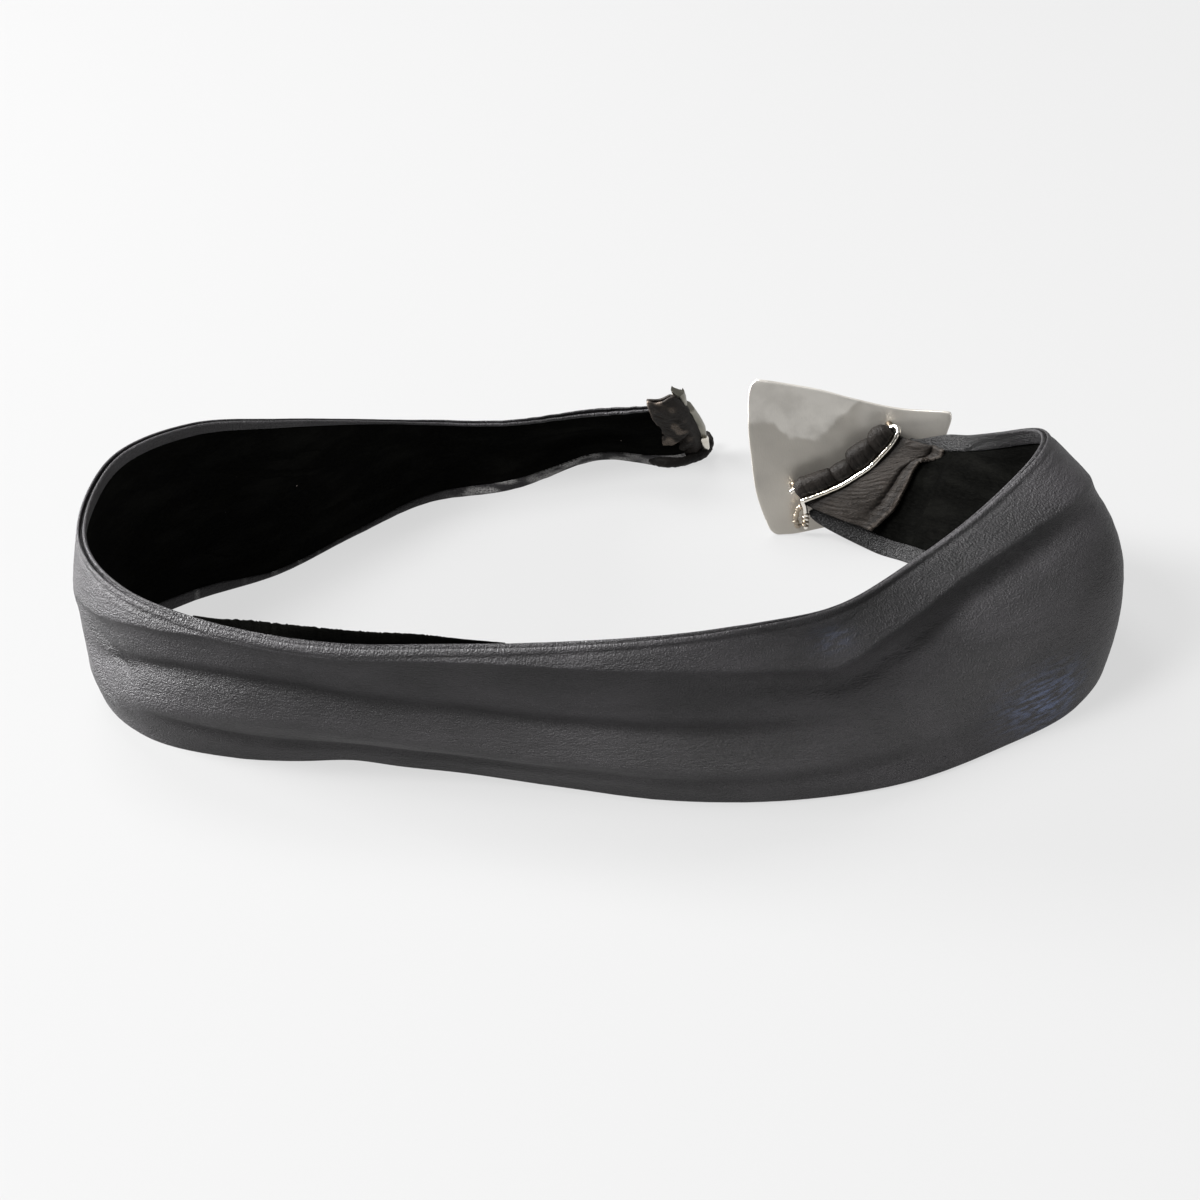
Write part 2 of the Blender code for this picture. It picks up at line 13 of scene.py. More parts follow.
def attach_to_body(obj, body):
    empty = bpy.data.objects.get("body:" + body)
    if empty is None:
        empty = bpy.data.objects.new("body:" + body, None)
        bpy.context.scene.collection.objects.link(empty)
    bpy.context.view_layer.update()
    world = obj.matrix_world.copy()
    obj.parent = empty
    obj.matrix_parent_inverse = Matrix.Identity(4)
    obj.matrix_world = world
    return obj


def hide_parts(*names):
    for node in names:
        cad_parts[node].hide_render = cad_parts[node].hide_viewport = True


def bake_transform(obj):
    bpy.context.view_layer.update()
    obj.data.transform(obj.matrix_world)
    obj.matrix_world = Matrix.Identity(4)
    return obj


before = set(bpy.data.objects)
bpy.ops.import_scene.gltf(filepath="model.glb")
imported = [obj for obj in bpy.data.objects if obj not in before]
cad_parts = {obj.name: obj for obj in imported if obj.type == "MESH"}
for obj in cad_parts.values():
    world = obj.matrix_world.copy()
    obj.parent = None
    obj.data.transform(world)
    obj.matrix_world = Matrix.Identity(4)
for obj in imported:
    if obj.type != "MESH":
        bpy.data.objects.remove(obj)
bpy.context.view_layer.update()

MM = 0.001
PLAN_CENTRE = np.array([2.8, 38.2, 0.0])

# Strap ------------
STRAP_THICK = 3.3
RING_STEP = 1.5           # spacing of the strap's cross sections
PANEL_STEPS = 76          # points across the outer side
BED_STEPS = 44            # points across the bed and the back of the lining
BED_DEPTH = 0.75          # how deep the lining is let in between the hems
STATIONS = [              # lower edge, upper edge, outward bulge of the section
    ((40, 157, 1.5), (29, 141, 34), 1),
    ((24, 155, 0), (17, 140, 32), 1),
    ((-2, 159, 0), (-4, 140, 30.5), 2),
    ((-34, 135, 0), (-36, 130, 31.5), 2),
    ((-67, 124, 0), (-68, 120, 37), 2),
    ((-94, 97.5, 0), (-92, 99, 48.5), 2),
    ((-120, 69, 0), (-115, 74, 61.5), 2),
    ((-151, 48.5, 0), (-144, 51, 71.5), 2),
    ((-172, 24, 0), (-167, 21, 74), 2),
    ((-171, -12, 0), (-172, -21, 69), 3),
    ((-152, -39, 0), (-155, -52, 66), 2),
    ((-122, -51, 0), (-122, -70, 63), 2),
    ((-87, -54, 0), (-85, -79, 61.5), 2),
    ((-50, -59, 0), (-49, -84, 64), 2),
    ((-13, -68, 0), (-15, -87, 66.5), 2),
    ((24, -76, 0), (20, -87, 69), 2),
    ((63, -76, 0), (52, -74, 66), 2),
    ((101, -67, 0), (78, -51, 59), 3),
    ((134, -47, 0), (102, -24, 58), 7),
    ((162, -23, 0), (127.5, -1, 65), 12.5),
    ((176, 10, 0), (150, 23, 74.5), 16.5),
    ((160, 39, 0), (155, 50, 70), 14.5),
    ((136, 58, 0), (143, 68, 59.5), 10),
    ((116, 76, 0), (135, 82, 51), 3),
    ((103, 85, 0), (128, 91, 46.5), 0),
]
STRAP_START = 0.35        # the strap's pieces start here, inside the clasp end's fold
STRAP_END = 25.4          # and end here, under the bail's front leg
SPLITS = [STRAP_START, 4.2, 11.4, 19.7, STRAP_END]
BENDS = [                 # joint place, half length of the bend, body before it, body after it
    (1.1, 0.6, "clasp_end", "left_arm"),
    (7.4, 1.1, "left_arm", "middle"),
    (15.4, 1.0, "middle", "right_arm"),
    (23.9, 0.7, "right_arm", "buckle"),
]
NAMES = ["left_end", "left_turn", "front", "right_end"]
FACE_NODES = [("strap_face_left", "interlining_left"),
              ("strap_face_left", "strap_face_middle", "interlining_middle"),
              ("strap_face_middle", "strap_face_right", "interlining_right"), ("strap_face_right",)]
LINING_NODES = [("suede_lining_left", "clasp_end_lining"), ("suede_lining_left", "suede_lining_middle"),
                ("suede_lining_middle", "suede_lining_right"), ("suede_lining_right", "buckle_end_lining")]

# Width of the turned leather on the inner side: (place, width).
UPPER_HEM = [(0, 0.6), (4, 0.8), (5, 1.6), (6, 2.8), (7, 4.2), (8, 5.4), (9, 6.0), (22, 6.5), (24, 7.0)]
LOWER_HEM = [
    (0, 6.5), (0.9, 6.0), (1.3, 5.2), (1.9, 4.6), (2.4, 3.8), (3.0, 4.1), (3.6, 3.8), (4.2, 2.8), (4.8, 1.9),
    (5.6, 1.6), (6.1, 2.0), (6.6, 4.0), (7.5, 4.6), (9, 6.0), (22, 6.5), (24, 7.0),
]

# Lengthwise folds of the leather: (place, share of the strap's width above the lower edge).
TOP_FOLD = [
    (8.6, 0.68), (9.3, 0.75), (9.7, 0.81), (10.3, 0.905), (10.9, 0.962), (11.6, 0.972), (12.3, 0.968),
    (12.8, 0.96), (13.2, 0.953), (13.6, 0.943), (14.1, 0.922), (15.0, 0.87), (15.7, 0.81), (16.1, 0.775),
    (16.4, 0.74), (16.6, 0.72), (16.8, 0.735), (17.2, 0.775), (17.8, 0.80), (18.3, 0.83), (18.8, 0.835),
    (19.4, 0.825), (20.2, 0.79), (21.0, 0.76),
]
MIDDLE_FOLD = [
    (9.6, 0.46), (9.95, 0.53), (10.6, 0.625), (11.1, 0.655), (11.7, 0.648), (12.1, 0.605), (12.7, 0.56),
    (13.3, 0.525), (14.0, 0.485), (15.0, 0.45), (16.0, 0.41), (17.0, 0.38),
]
LOW_FOLD = [
    (10.2, 0.27), (10.9, 0.22), (12.0, 0.18), (13.2, 0.175), (14.3, 0.20), (15.0, 0.17), (16.2, 0.14),
    (17.6, 0.12),
]

# Buckle ------------
WIRE = 2.2
PLATE_THICK = 1.4
PLATE_BOW = 3.0
PLATE_TILT = radians(6)
PLATE_ORIGIN = np.array([66.4, 99.3, 0.6])
PLATE_RIGHT = np.array([1.0, 0.0, 0.0])
PLATE_UP = np.array([0.0, sin(PLATE_TILT), cos(PLATE_TILT)])
PLATE_INWARD = np.array([0.0, -cos(PLATE_TILT), sin(PLATE_TILT)])
PLATE_OUTLINE = [         # (right, up) from the plate's lower left corner
    (0.3, -0.3), (3.2, -0.5), (7.6, -0.3), (13.0, 0.7), (20.0, 2.2), (30.0, 4.1), (41.0, 6.0), (50.0, 7.2),
    (53.2, 9.6), (57.0, 21.0), (61.4, 36.0), (63.7, 44.1), (64.3, 47.5), (63.9, 49.2), (62.2, 49.9),
    (49.9, 50.0), (40.4, 51.1), (32.5, 52.8), (24.5, 54.9), (17.4, 57.1), (10.3, 58.8), (3.2, 60.3),
    (-7.4, 62.4), (-9.6, 61.9), (-11.0, 59.6), (-11.5, 55.1), (-11.3, 44.1), (-10.8, 38.2), (-9.9, 31.4),
    (-8.9, 23.6), (-7.8, 17.6), (-6.3, 12.4), (-4.1, 6.3), (-2.1, 1.8),
]
BAIL_START = (9.9, 17.6)  # lower end of the bail in the plate's plane
BAIL_ANGLE = atan2(26.2, 37.0)
BAIL_FRONT_LIFT = 8.9
BAIL_BACK_LIFT = 6.1
BAIL_LEG = [              # the front leg's bent line: (along, across)
    (-0.6, -0.7), (5.6, -2.2), (14.0, -3.7), (21.5, -3.9), (27.2, -3.7), (32.7, -2.4), (38.5, -0.7),
    (43.0, 1.6),
]

# Clasp ------------
CLASP_LOW = np.array([37.0, 161.0, 3.5])
CLASP_HIGH = np.array([29.0, 141.0, 36.5])


def unit(vector):
    return vector / np.linalg.norm(vector)


CLASP_UP = unit(CLASP_HIGH - CLASP_LOW)
CLASP_ALONG = np.array([1.0, 0.03, 0.05])
CLASP_ALONG = unit(CLASP_ALONG - np.dot(CLASP_ALONG, CLASP_UP) * CLASP_UP)
CLASP_OUT = np.cross(CLASP_UP, CLASP_ALONG)


def clasp_point(along, up, out):
    return CLASP_LOW + CLASP_ALONG * along + CLASP_UP * up + CLASP_OUT * out


def plate_point(r, u, lift):
    return PLATE_ORIGIN + PLATE_RIGHT * r + PLATE_UP * u + PLATE_INWARD * lift


def plate_lift(r):
    return PLATE_BOW * ((r - 27.0) / 38.0) ** 2


def bail_point(along, across, lift):
    r = BAIL_START[0] + along * cos(BAIL_ANGLE) - across * sin(BAIL_ANGLE)
    u = BAIL_START[1] + along * sin(BAIL_ANGLE) + across * cos(BAIL_ANGLE)
    return plate_point(r, u, lift)


# Numbers ------------

def spline(values, places):
    """Catmull-Rom reading of rows of values at fractional places along them."""
    values = np.asarray(values, dtype=float)
    last = len(values) - 1
    low = np.clip(np.floor(places).astype(int), 0, last - 1)
    t = (places - low)[:, None]
    padded = np.vstack([2 * values[:1] - values[1:2], values, 2 * values[-1:] - values[-2:-1]])
    before, start, end, after = (padded[low + k] for k in range(4))
    slope_start = (end - before) / 2
    slope_end = (after - start) / 2
    return ((2 * t**3 - 3 * t**2 + 1) * start + (t**3 - 2 * t**2 + t) * slope_start
            + (3 * t**2 - 2 * t**3) * end + (t**3 - t**2) * slope_end)


def rise(low, high, x):
    t = np.clip((x - low) / (high - low), 0.0, 1.0)
    return t * t * (3 - 2 * t)


def hump(x, width):
    return np.exp(-(x / width) ** 2)


def window(x, low, high, soft):
    """1 between low and high, fading to 0 over soft on both sides."""
    return rise(low - soft, low, x) * (1 - rise(high, high + soft, x))


def line_at(line, x):
    places, values = zip(*line)
    return np.interp(x, places, values)


def smooth_line(points, count):
    """Evenly counted places on a smooth line through the points."""
    return spline(points, np.linspace(0, len(points) - 1, count))


def noise_at(x, y, z):
    return noise.noise(Vector((x, y, z)))


def field(x, y, seed):
    """Smooth noise from -1 to 1 at each pair of numbers."""
    flat = [noise_at(a, b, seed) for a, b in zip(np.ravel(x), np.ravel(y))]
    return np.array(flat).reshape(np.shape(x))


# Meshes ------------

RIM_REACH = 0.8           # how far a sheet's rim stands out, as a share of half its thickness


def grid_normals(grid, closed):
    """Unit normals of a grid of points, whose columns run round a closed section or from edge to edge."""
    along = np.gradient(grid, axis=0)
    if closed:
        across = np.roll(grid, -1, axis=1) - np.roll(grid, 1, axis=1)
    else:
        across = np.gradient(grid, axis=1)
    normal = np.cross(along, across)
    return normal / np.maximum(np.linalg.norm(normal, axis=2, keepdims=True), 1e-9)


def add_object(name, data):
    item = bpy.data.objects.new(name, data)
    bpy.context.scene.collection.objects.link(item)
    return item


def build_mesh(name, points, faces, material, pelt, painted_light=None, painted_reflection=None):
    """A mesh in metres whose Pelt attribute and its attributes of painted light and painted reflection steer
    its material.
    """
    mesh = bpy.data.meshes.new(name)
    metres = (np.asarray(points, dtype=float).reshape(-1, 3) - PLAN_CENTRE) * MM
    mesh.from_pydata(metres.tolist(), [], faces)
    mesh.materials.append(material)
    mesh.shade_smooth()
    blank = np.zeros(len(mesh.vertices))
    for key, kind, part, values in (("Pelt", "FLOAT_VECTOR", "vector", pelt), ("PaintedLight", "FLOAT", "value", painted_light),
                                    ("Tint", "FLOAT", "value", painted_reflection)):
        values = np.ravel(blank if values is None else values).astype(np.float32)
        mesh.attributes.new(key, kind, "POINT").data.foreach_set(part, values)
    return add_object(name, mesh)


def attach(item, body, slot, *nodes):
    """The piece rides on a body and stands in for the named CAD nodes, which it hides; slot is not used."""
    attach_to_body(item, body)
    if nodes:
        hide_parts(*nodes)


def ring_faces(rows, columns, offset=0):
    faces = []
    for i in range(rows - 1):
        for j in range(columns):
            k = (j + 1) % columns
            low = offset + i * columns
            faces.append((low + j, low + k, low + columns + k, low + columns + j))
    return faces


def capped_faces(rows, columns):
    last = (rows - 1) * columns
    ends = [tuple(range(columns))[::-1], tuple(range(last, last + columns))]
    return ring_faces(rows, columns) + ends


def section_mesh(name, grid, normals, material, pelt, painted_light=None, painted_reflection=None):
    """A closed solid through equal closed sections, with flat end caps, shaded by the grid's normals."""
    rows, columns = grid.shape[:2]
    faces = capped_faces(rows, columns)

    # The first ring's area vector shows which way round its points run.
    ring = grid[0] - grid[0].mean(axis=0)
    area = np.cross(ring, np.roll(ring, -1, axis=0)).sum(axis=0)
    if np.dot(area, grid[1].mean(axis=0) - grid[0].mean(axis=0)) < 0:
        faces = [face[::-1] for face in faces]
    else:
        normals = -normals
    item = build_mesh(name, grid, faces, material, pelt, painted_light, painted_reflection)
    mesh = item.data
    side_faces = (rows - 1) * columns
    for polygon in mesh.polygons[side_faces:]:
        polygon.use_smooth = False
    side_loops = 4 * side_faces
    corner = np.zeros(len(mesh.loops), dtype=np.int32)
    mesh.loops.foreach_get("vertex_index", corner)
    loop_normals = np.zeros((len(mesh.loops), 3))
    loop_normals[:side_loops] = normals.reshape(-1, 3)[corner[:side_loops]]
    mesh.normals_split_custom_set(loop_normals.tolist())
    return item


def rim_loop(rows, columns):
    """The grid places round a sheet's border, each with its neighbour further in."""
    loop = [(0, j) for j in range(columns)] + [(i, columns - 1) for i in range(1, rows)]
    loop += [(rows - 1, j) for j in range(columns - 2, -1, -1)] + [(i, 0) for i in range(rows - 2, 0, -1)]
    return [((i, j), (min(max(i, 1), rows - 2), min(max(j, 1), columns - 2))) for i, j in loop]


def sheet_mesh(name, middle, thick, material, pelt, painted_light=None):
    """A closed sheet around a grid of middle points, with round rims; thick is one number or a grid."""
    normal = grid_normals(middle, closed=False)
    rows, columns = middle.shape[:2]
    half = (np.zeros((rows, columns)) + thick)[..., None] / 2
    top = middle + normal * half
    bottom = middle - normal * half

    # The rim's points lie a little outside the edge, so that it is round.
    loop = rim_loop(rows, columns)
    rims = [middle[edge] + unit(middle[edge] - middle[inner]) * half[edge] * RIM_REACH
            for edge, inner in loop]
    points = np.concatenate([top.reshape(-1, 3), bottom.reshape(-1, 3), np.array(rims)])
    count = rows * columns
    faces = []
    for i in range(rows - 1):
        for j in range(columns - 1):
            a = i * columns + j
            face = (a, a + columns, a + columns + 1, a + 1)
            faces.append(face)
            faces.append(tuple(count + k for k in face[::-1]))
    border = [i * columns + j for (i, j), _ in loop]
    for m, a in enumerate(border):
        n = (m + 1) % len(border)
        b = border[n]
        faces.append((a, b, 2 * count + n, 2 * count + m))
        faces.append((count + b, count + a, 2 * count + m, 2 * count + n))

    def spread(values, size):
        flat = np.asarray(values, dtype=float).reshape(count, size)
        return np.concatenate([flat, flat, flat[border]])
    painted_light = np.zeros(count) if painted_light is None else painted_light
    return build_mesh(name, points, faces, material, spread(pelt, 3), spread(painted_light, 1))


def tube_mesh(name, path, radius, material, sides=16, lumps=0.0):
    """Round wire along a path; radius is one number or one for each point, and lumps makes it uneven."""
    path = np.asarray(path, dtype=float)
    count = len(path)
    radii = np.zeros(count) + radius
    grid = []
    side = None
    for i in range(count):
        along = unit(path[min(i + 1, count - 1)] - path[max(i - 1, 0)])
        if side is None:
            helper = np.array([0.0, 0.0, 1.0]) if abs(along[2]) < 0.9 else np.array([1.0, 0.0, 0.0])
            side = unit(np.cross(along, helper))
        side = unit(side - along * np.dot(side, along))
        other = np.cross(along, side)
        for k in range(sides):
            a = 2 * pi * k / sides
            direction = cos(a) * side + sin(a) * other
            bump = lumps * noise_at(*(path[i] * 0.9 + direction * 0.8))
            grid.append(path[i] + direction * (radii[i] + bump))
    return build_mesh(name, grid, capped_faces(count, sides), material, grid)


# Materials ------------

class Shader:
    """A node material with one Principled shader. Kinds of node lack ShaderNode, and _ stands for a space."""

    def __init__(self, name):
        self.material = bpy.data.materials.new(name)
        self.material.use_nodes = True
        self.tree = self.material.node_tree

    def put(self, socket, value):
        if isinstance(value, bpy.types.NodeSocket):
            self.tree.links.new(value, socket)
        else:
            socket.default_value = (*value, 1.0) if socket.type == "RGBA" else value

    def fill(self, node, inputs):
        for key, value in inputs.items():
            self.put(node.inputs[key.replace("_", " ")], value)

    def node(self, kind, output, settings=None, **inputs):
        made = self.tree.nodes.new("ShaderNode" + kind)
        for key, value in (settings or {}).items():
            setattr(made, key, value)
        self.fill(made, inputs)
        return made.outputs[output]

    def finish(self, **inputs):
        self.fill(self.tree.nodes["Principled BSDF"], inputs)
        return self.material

    def maths(self, operation, first, second):
        made = self.tree.nodes.new("ShaderNodeMath")
        made.operation = operation
        self.put(made.inputs[0], first)
        self.put(made.inputs[1], second)
        return made.outputs[0]

    def times(self, first, second):
        return self.maths("MULTIPLY", first, second)

    def plus(self, first, second):
        return self.maths("ADD", first, second)

    def attribute(self, name, output="Fac"):
        return self.node("Attribute", output, {"attribute_name": name})

    def noise(self, vector, scale, detail=3.0, roughness=0.55, turn=0.0):
        place = self.node("Mapping", "Vector", Vector=vector, Scale=scale, Rotation=(0.0, 0.0, turn))
        return self.node("TexNoise", "Fac", Vector=place, Scale=1.0, Detail=detail, Roughness=roughness)

    def ramp(self, value, low, high):
        """0 below low, 1 above high, and a smooth rise between them."""
        return self.node("MapRange", "Result", {"interpolation_type": "SMOOTHSTEP"},
                         Value=value, From_Min=low, From_Max=high)

    def spread(self, value, low, high):
        """The value's 0 to 1 turned into low to high."""
        return self.node("MapRange", "Result", Value=value, To_Min=low, To_Max=high)

    def mix(self, share, first, second):
        made = self.tree.nodes.new("ShaderNodeMix")
        made.data_type = "RGBA"
        for number, value in ((0, share), (6, first), (7, second)):
            self.put(made.inputs[number], value)
        return made.outputs[2]

    def bump(self, height, distance, strength):
        return self.node("Bump", "Normal", Height=height, Distance=distance, Strength=strength)


def leather_material(name, dark, light, scuff_and_highlight, gloss=0.46, relief=0.0009, shine=0.22):
    """Soft leather: creased grain, pores, uneven tone, scuffs and a painted bluish sheen; the painted-light
    attribute paints pale highlights above 0 and dark shade below 0.
    """
    m = Shader(name)
    pelt = m.attribute("Pelt", "Vector")
    creases = m.noise(pelt, (0.32, 0.95, 1.0), 4.0, 0.6, turn=0.06)
    grain = m.noise(pelt, (1.3, 2.2, 1.0), 2.0, 0.6)
    pores = m.node("TexVoronoi", "Distance", Vector=pelt, Scale=1.7)
    cloud = m.noise(pelt, (0.03, 0.06, 1.0))
    scuffs = m.ramp(m.noise(pelt, (0.09, 0.9, 1.0), 4.0, 0.7, turn=0.5), 0.66, 0.86)
    dye_and_painted_light = m.mix(m.ramp(cloud, 0.3, 0.75), dark, light)
    dye_and_painted_light = m.mix(m.times(scuffs, 0.25), dye_and_painted_light, scuff_and_highlight)
    # Painted bluish sheen: streaky blue patches where the painted-reflection attribute is set.
    streaks = m.ramp(m.noise(pelt, (0.12, 0.7, 1.0), 4.0, 0.7, turn=0.1), 0.42, 0.62)
    painted_sheen = m.times(m.attribute("Tint"), streaks)
    dye_and_painted_light = m.mix(m.times(painted_sheen, 0.8), dye_and_painted_light, (0.075, 0.095, 0.16))
    painted_light = m.attribute("PaintedLight")
    # Painted highlights: the pale colour in grainy patches where the painted-light attribute is above 0.
    dye_and_painted_light = m.mix(m.times(painted_light, m.ramp(grain, 0.32, 0.55)), dye_and_painted_light, scuff_and_highlight)
    # Painted shade: the colour darkens towards black where the painted-light attribute is below 0.
    dye_and_painted_light = m.mix(m.ramp(painted_light, -1.0, 0.0), (0.0015, 0.0015, 0.0015), dye_and_painted_light)
    rough = m.spread(grain, gloss - 0.08, gloss + 0.14)
    height = m.plus(m.plus(m.times(creases, 0.7), m.times(grain, 0.55)), m.times(pores, 0.30))
    normal = m.bump(height, relief, 1.0)
    return m.finish(Base_Color=dye_and_painted_light, Roughness=rough, Normal=normal, Specular_IOR_Level=shine)


def suede_material():
    """Black suede: no gloss, brushed nap in patches, a little lint."""
    m = Shader("black_suede_nap")
    pelt = m.attribute("Pelt", "Vector")
    nap = m.noise(pelt, (0.5, 1.4, 1.0), 5.0, 0.75, turn=0.3)
    brushed = m.ramp(m.noise(pelt, (0.035, 0.11, 1.0), 4.0, turn=0.15), 0.42, 0.72)
    colour = m.mix(m.ramp(nap, 0.35, 0.75), (0.0008, 0.0008, 0.0007), (0.0028, 0.0028, 0.0025))
    colour = m.mix(m.times(brushed, 0.5), colour, (0.0055, 0.0055, 0.0048))
    lint = m.node("TexVoronoi", "Distance", Vector=pelt, Scale=0.085)
    colour = m.mix(m.times(m.maths("LESS_THAN", lint, 0.022), 0.8), colour, (0.23, 0.20, 0.18))
    return m.finish(Base_Color=colour, Roughness=0.95, Normal=m.bump(nap, 0.0006, 0.8),
                    Specular_IOR_Level=0.01, Sheen_Weight=0.001, Sheen_Roughness=0.6)


def metal_material(name, bright, darker_tone, roughness, spots, wave):
    """Polished silver: soft tarnish clouds, fine scratches, and tarnish specks as strong as spots."""
    m = Shader(name)
    place = m.node("TexCoord", "Object")
    cloud = m.noise(place, (40.0, 40.0, 60.0))
    colour = m.mix(m.ramp(cloud, 0.35, 0.7), bright, darker_tone)
    specks = m.ramp(m.noise(place, (260.0, 260.0, 260.0), 4.0), 0.66, 0.78)
    colour = m.mix(m.times(specks, spots), colour, (0.13, 0.11, 0.09))
    fine = m.noise(place, (900.0, 900.0, 5000.0), 2.0)
    shine = m.spread(fine, roughness - 0.05, roughness + 0.08)
    height = m.plus(m.times(fine, 0.02), m.times(cloud, wave))
    return m.finish(Base_Color=colour, Metallic=1.0, Roughness=shine, Normal=m.bump(height, 0.001, 0.5))


def plate_material():
    """Satin silver sheet, with a painted pale reflection on its upper part and painted shade towards its lower
    edge.
    """
    m = Shader("satin_silver_sheet")
    place = m.node("TexCoord", "Object")
    # Painted reflection: the paler colour where the painted-reflection attribute is set.
    colour = m.mix(m.attribute("Tint"), (0.43, 0.405, 0.365), (0.66, 0.635, 0.59))
    # Painted shade: the darker colour where the painted-light attribute is set.
    colour = m.mix(m.times(m.attribute("PaintedLight"), 0.45), colour, (0.30, 0.275, 0.24))
    cloud = m.noise(place, (70.0, 70.0, 70.0), 4.0)
    colour = m.mix(m.times(m.ramp(cloud, 0.42, 0.7), 0.4), colour, (0.36, 0.34, 0.31))
    specks = m.ramp(m.noise(place, (330.0, 330.0, 500.0), 4.0), 0.70, 0.80)
    colour = m.mix(m.times(specks, 0.35), colour, (0.22, 0.20, 0.18))
    fine = m.noise(place, (2500.0, 2500.0, 600.0), 2.0)
    height = m.plus(fine, m.times(cloud, 3.0))
    shine = m.spread(fine, 0.36, 0.50)
    return m.finish(Base_Color=colour, Metallic=0.85, Roughness=shine, Normal=m.bump(height, 0.0001, 0.4))


# Strap ------------

# The last two sections: the strap bends up in front of the plate and goes under the bail.
ALL_STATIONS = STATIONS + [(bail_point(-2.4, -10.6, 6.4), bail_point(47.0, -5.4, 6.4), 0),
                           (bail_point(1.2, -4.2, 5.0), bail_point(44.6, -2.4, 5.0), 0)]
LOWER, UPPER, BULGE = (np.array([station[k] for station in ALL_STATIONS], dtype=float) for k in range(3))


def even_places():
    """Places along the strap, about RING_STEP apart, with every split among them."""
    places = []
    distance = []
    travelled = 0.0
    for start, end in zip(SPLITS, SPLITS[1:]):
        dense = np.linspace(start, end, 1200)
        middles = spline((LOWER + UPPER) / 2, dense)
        run = np.concatenate([[0.0], np.cumsum(np.linalg.norm(np.diff(middles, axis=0), axis=1))])
        steps = int(round(run[-1] / RING_STEP))
        marks = np.linspace(0.0, run[-1], steps + 1)
        found = np.interp(marks, run, dense)
        skip = 1 if places else 0
        places.extend(found[skip:])
        distance.extend(travelled + marks[skip:])
        travelled += run[-1]
    return np.array(places), np.array(distance)


def strap_frames(places):
    lower = spline(LOWER, places)
    upper = spline(UPPER, places)
    step = 0.02
    along = spline(LOWER + UPPER, places + step) - spline(LOWER + UPPER, places - step)
    width = np.linalg.norm(upper - lower, axis=1)
    up = (upper - lower) / width[:, None]
    outward = np.cross(along, up)
    outward /= np.linalg.norm(outward, axis=1)[:, None]
    return lower, up, outward, width, spline(BULGE[:, None], places)[:, 0]


def from_line(line, place, share, width):
    """Distance across the strap, upwards from a lengthwise line."""
    return (share - line_at(line, place)) * width


def folds(place, share, width):
    """Outward push, in millimetres, of the folds that the whole strap takes part in."""
    # The rolled upper band slopes out to its line and turns down there; further right it is a full ridge.
    line = line_at(TOP_FOLD, place)
    above = (share - line) * width
    size = np.interp(place, [8.4, 9.2, 9.8, 10.5, 11.2, 12.2, 13.2, 14.2, 15.2, 16.4, 19.0, 20.0, 20.9],
                     [0.0, 1.8, 3.2, 3.2, 2.2, 2.2, 2.9, 3.8, 4.1, 3.8, 3.2, 1.6, 0.0])
    ridge = rise(15.0, 16.6, place)
    band = (1 - line) * width * (1 - ridge) + 10.0 * ridge
    fall = 10.0 * (1 - ridge) + 3.2 * ridge
    distance = np.sqrt(above**2 + 0.16) - 0.4
    below = 0.5 * np.exp(-distance / 2.6) + 0.5 * np.exp(-distance / fall)
    push = size * np.where(above > 0, np.clip(1 - distance / (band + 0.4), 0, 1), below)
    push -= 0.55 * ridge * size * hump(above + 6.5, 4.0)

    # The middle crease with a full swell under it, then the low crease.
    middle = from_line(MIDDLE_FOLD, place, share, width)
    size = 1.35 * window(place, 10.3, 15.6, 1.6)
    push += size * (-1.7 * hump(middle, 4.0) + 2.4 * hump(middle + 16.0, 9.0))
    push -= window(place, 10.8, 16.6, 1.2) * 1.5 * hump(from_line(LOW_FOLD, place, share, width), 3.2)

    # Slanting wrinkles on the left turn.
    for start, end, top, bottom, deep in ((9.15, 10.05, 0.72, 0.51, 1.5), (9.15, 9.75, 0.47, 0.26, 1.2)):
        across = (share - top - (bottom - top) * (place - start) / (end - start)) * width
        ridge_and_hollow = hump(across, 2.2) - 0.9 * hump(across + 4.5, 3.0)
        push += deep * window(place, start + 0.15, end - 0.2, 0.25) * ridge_and_hollow

    # Pleats that gather towards the clasp end: long soft grooves between ridges of the inner side.
    gather = 1 - rise(1.0, 5.0, place)
    for start, end, first, last, deep, wide in (
            (4.6, 0.4, 0.50, 0.40, 1.5, 4.2), (3.6, 0.4, 0.80, 0.66, -1.1, 4.0),
            (3.0, 0.4, 0.24, 0.52, -1.0, 3.6), (2.0, 0.3, 0.93, 0.86, 0.8, 3.0)):
        across = from_line([(end, last), (start, first)], place, share, width)
        push += deep * gather * window(place, 0.0, start - 1.2, 1.2) * hump(across, wide)
    return push


# What a point of the strap's section belongs to.
OUTER, HEM, HIDDEN, SUEDE = range(4)


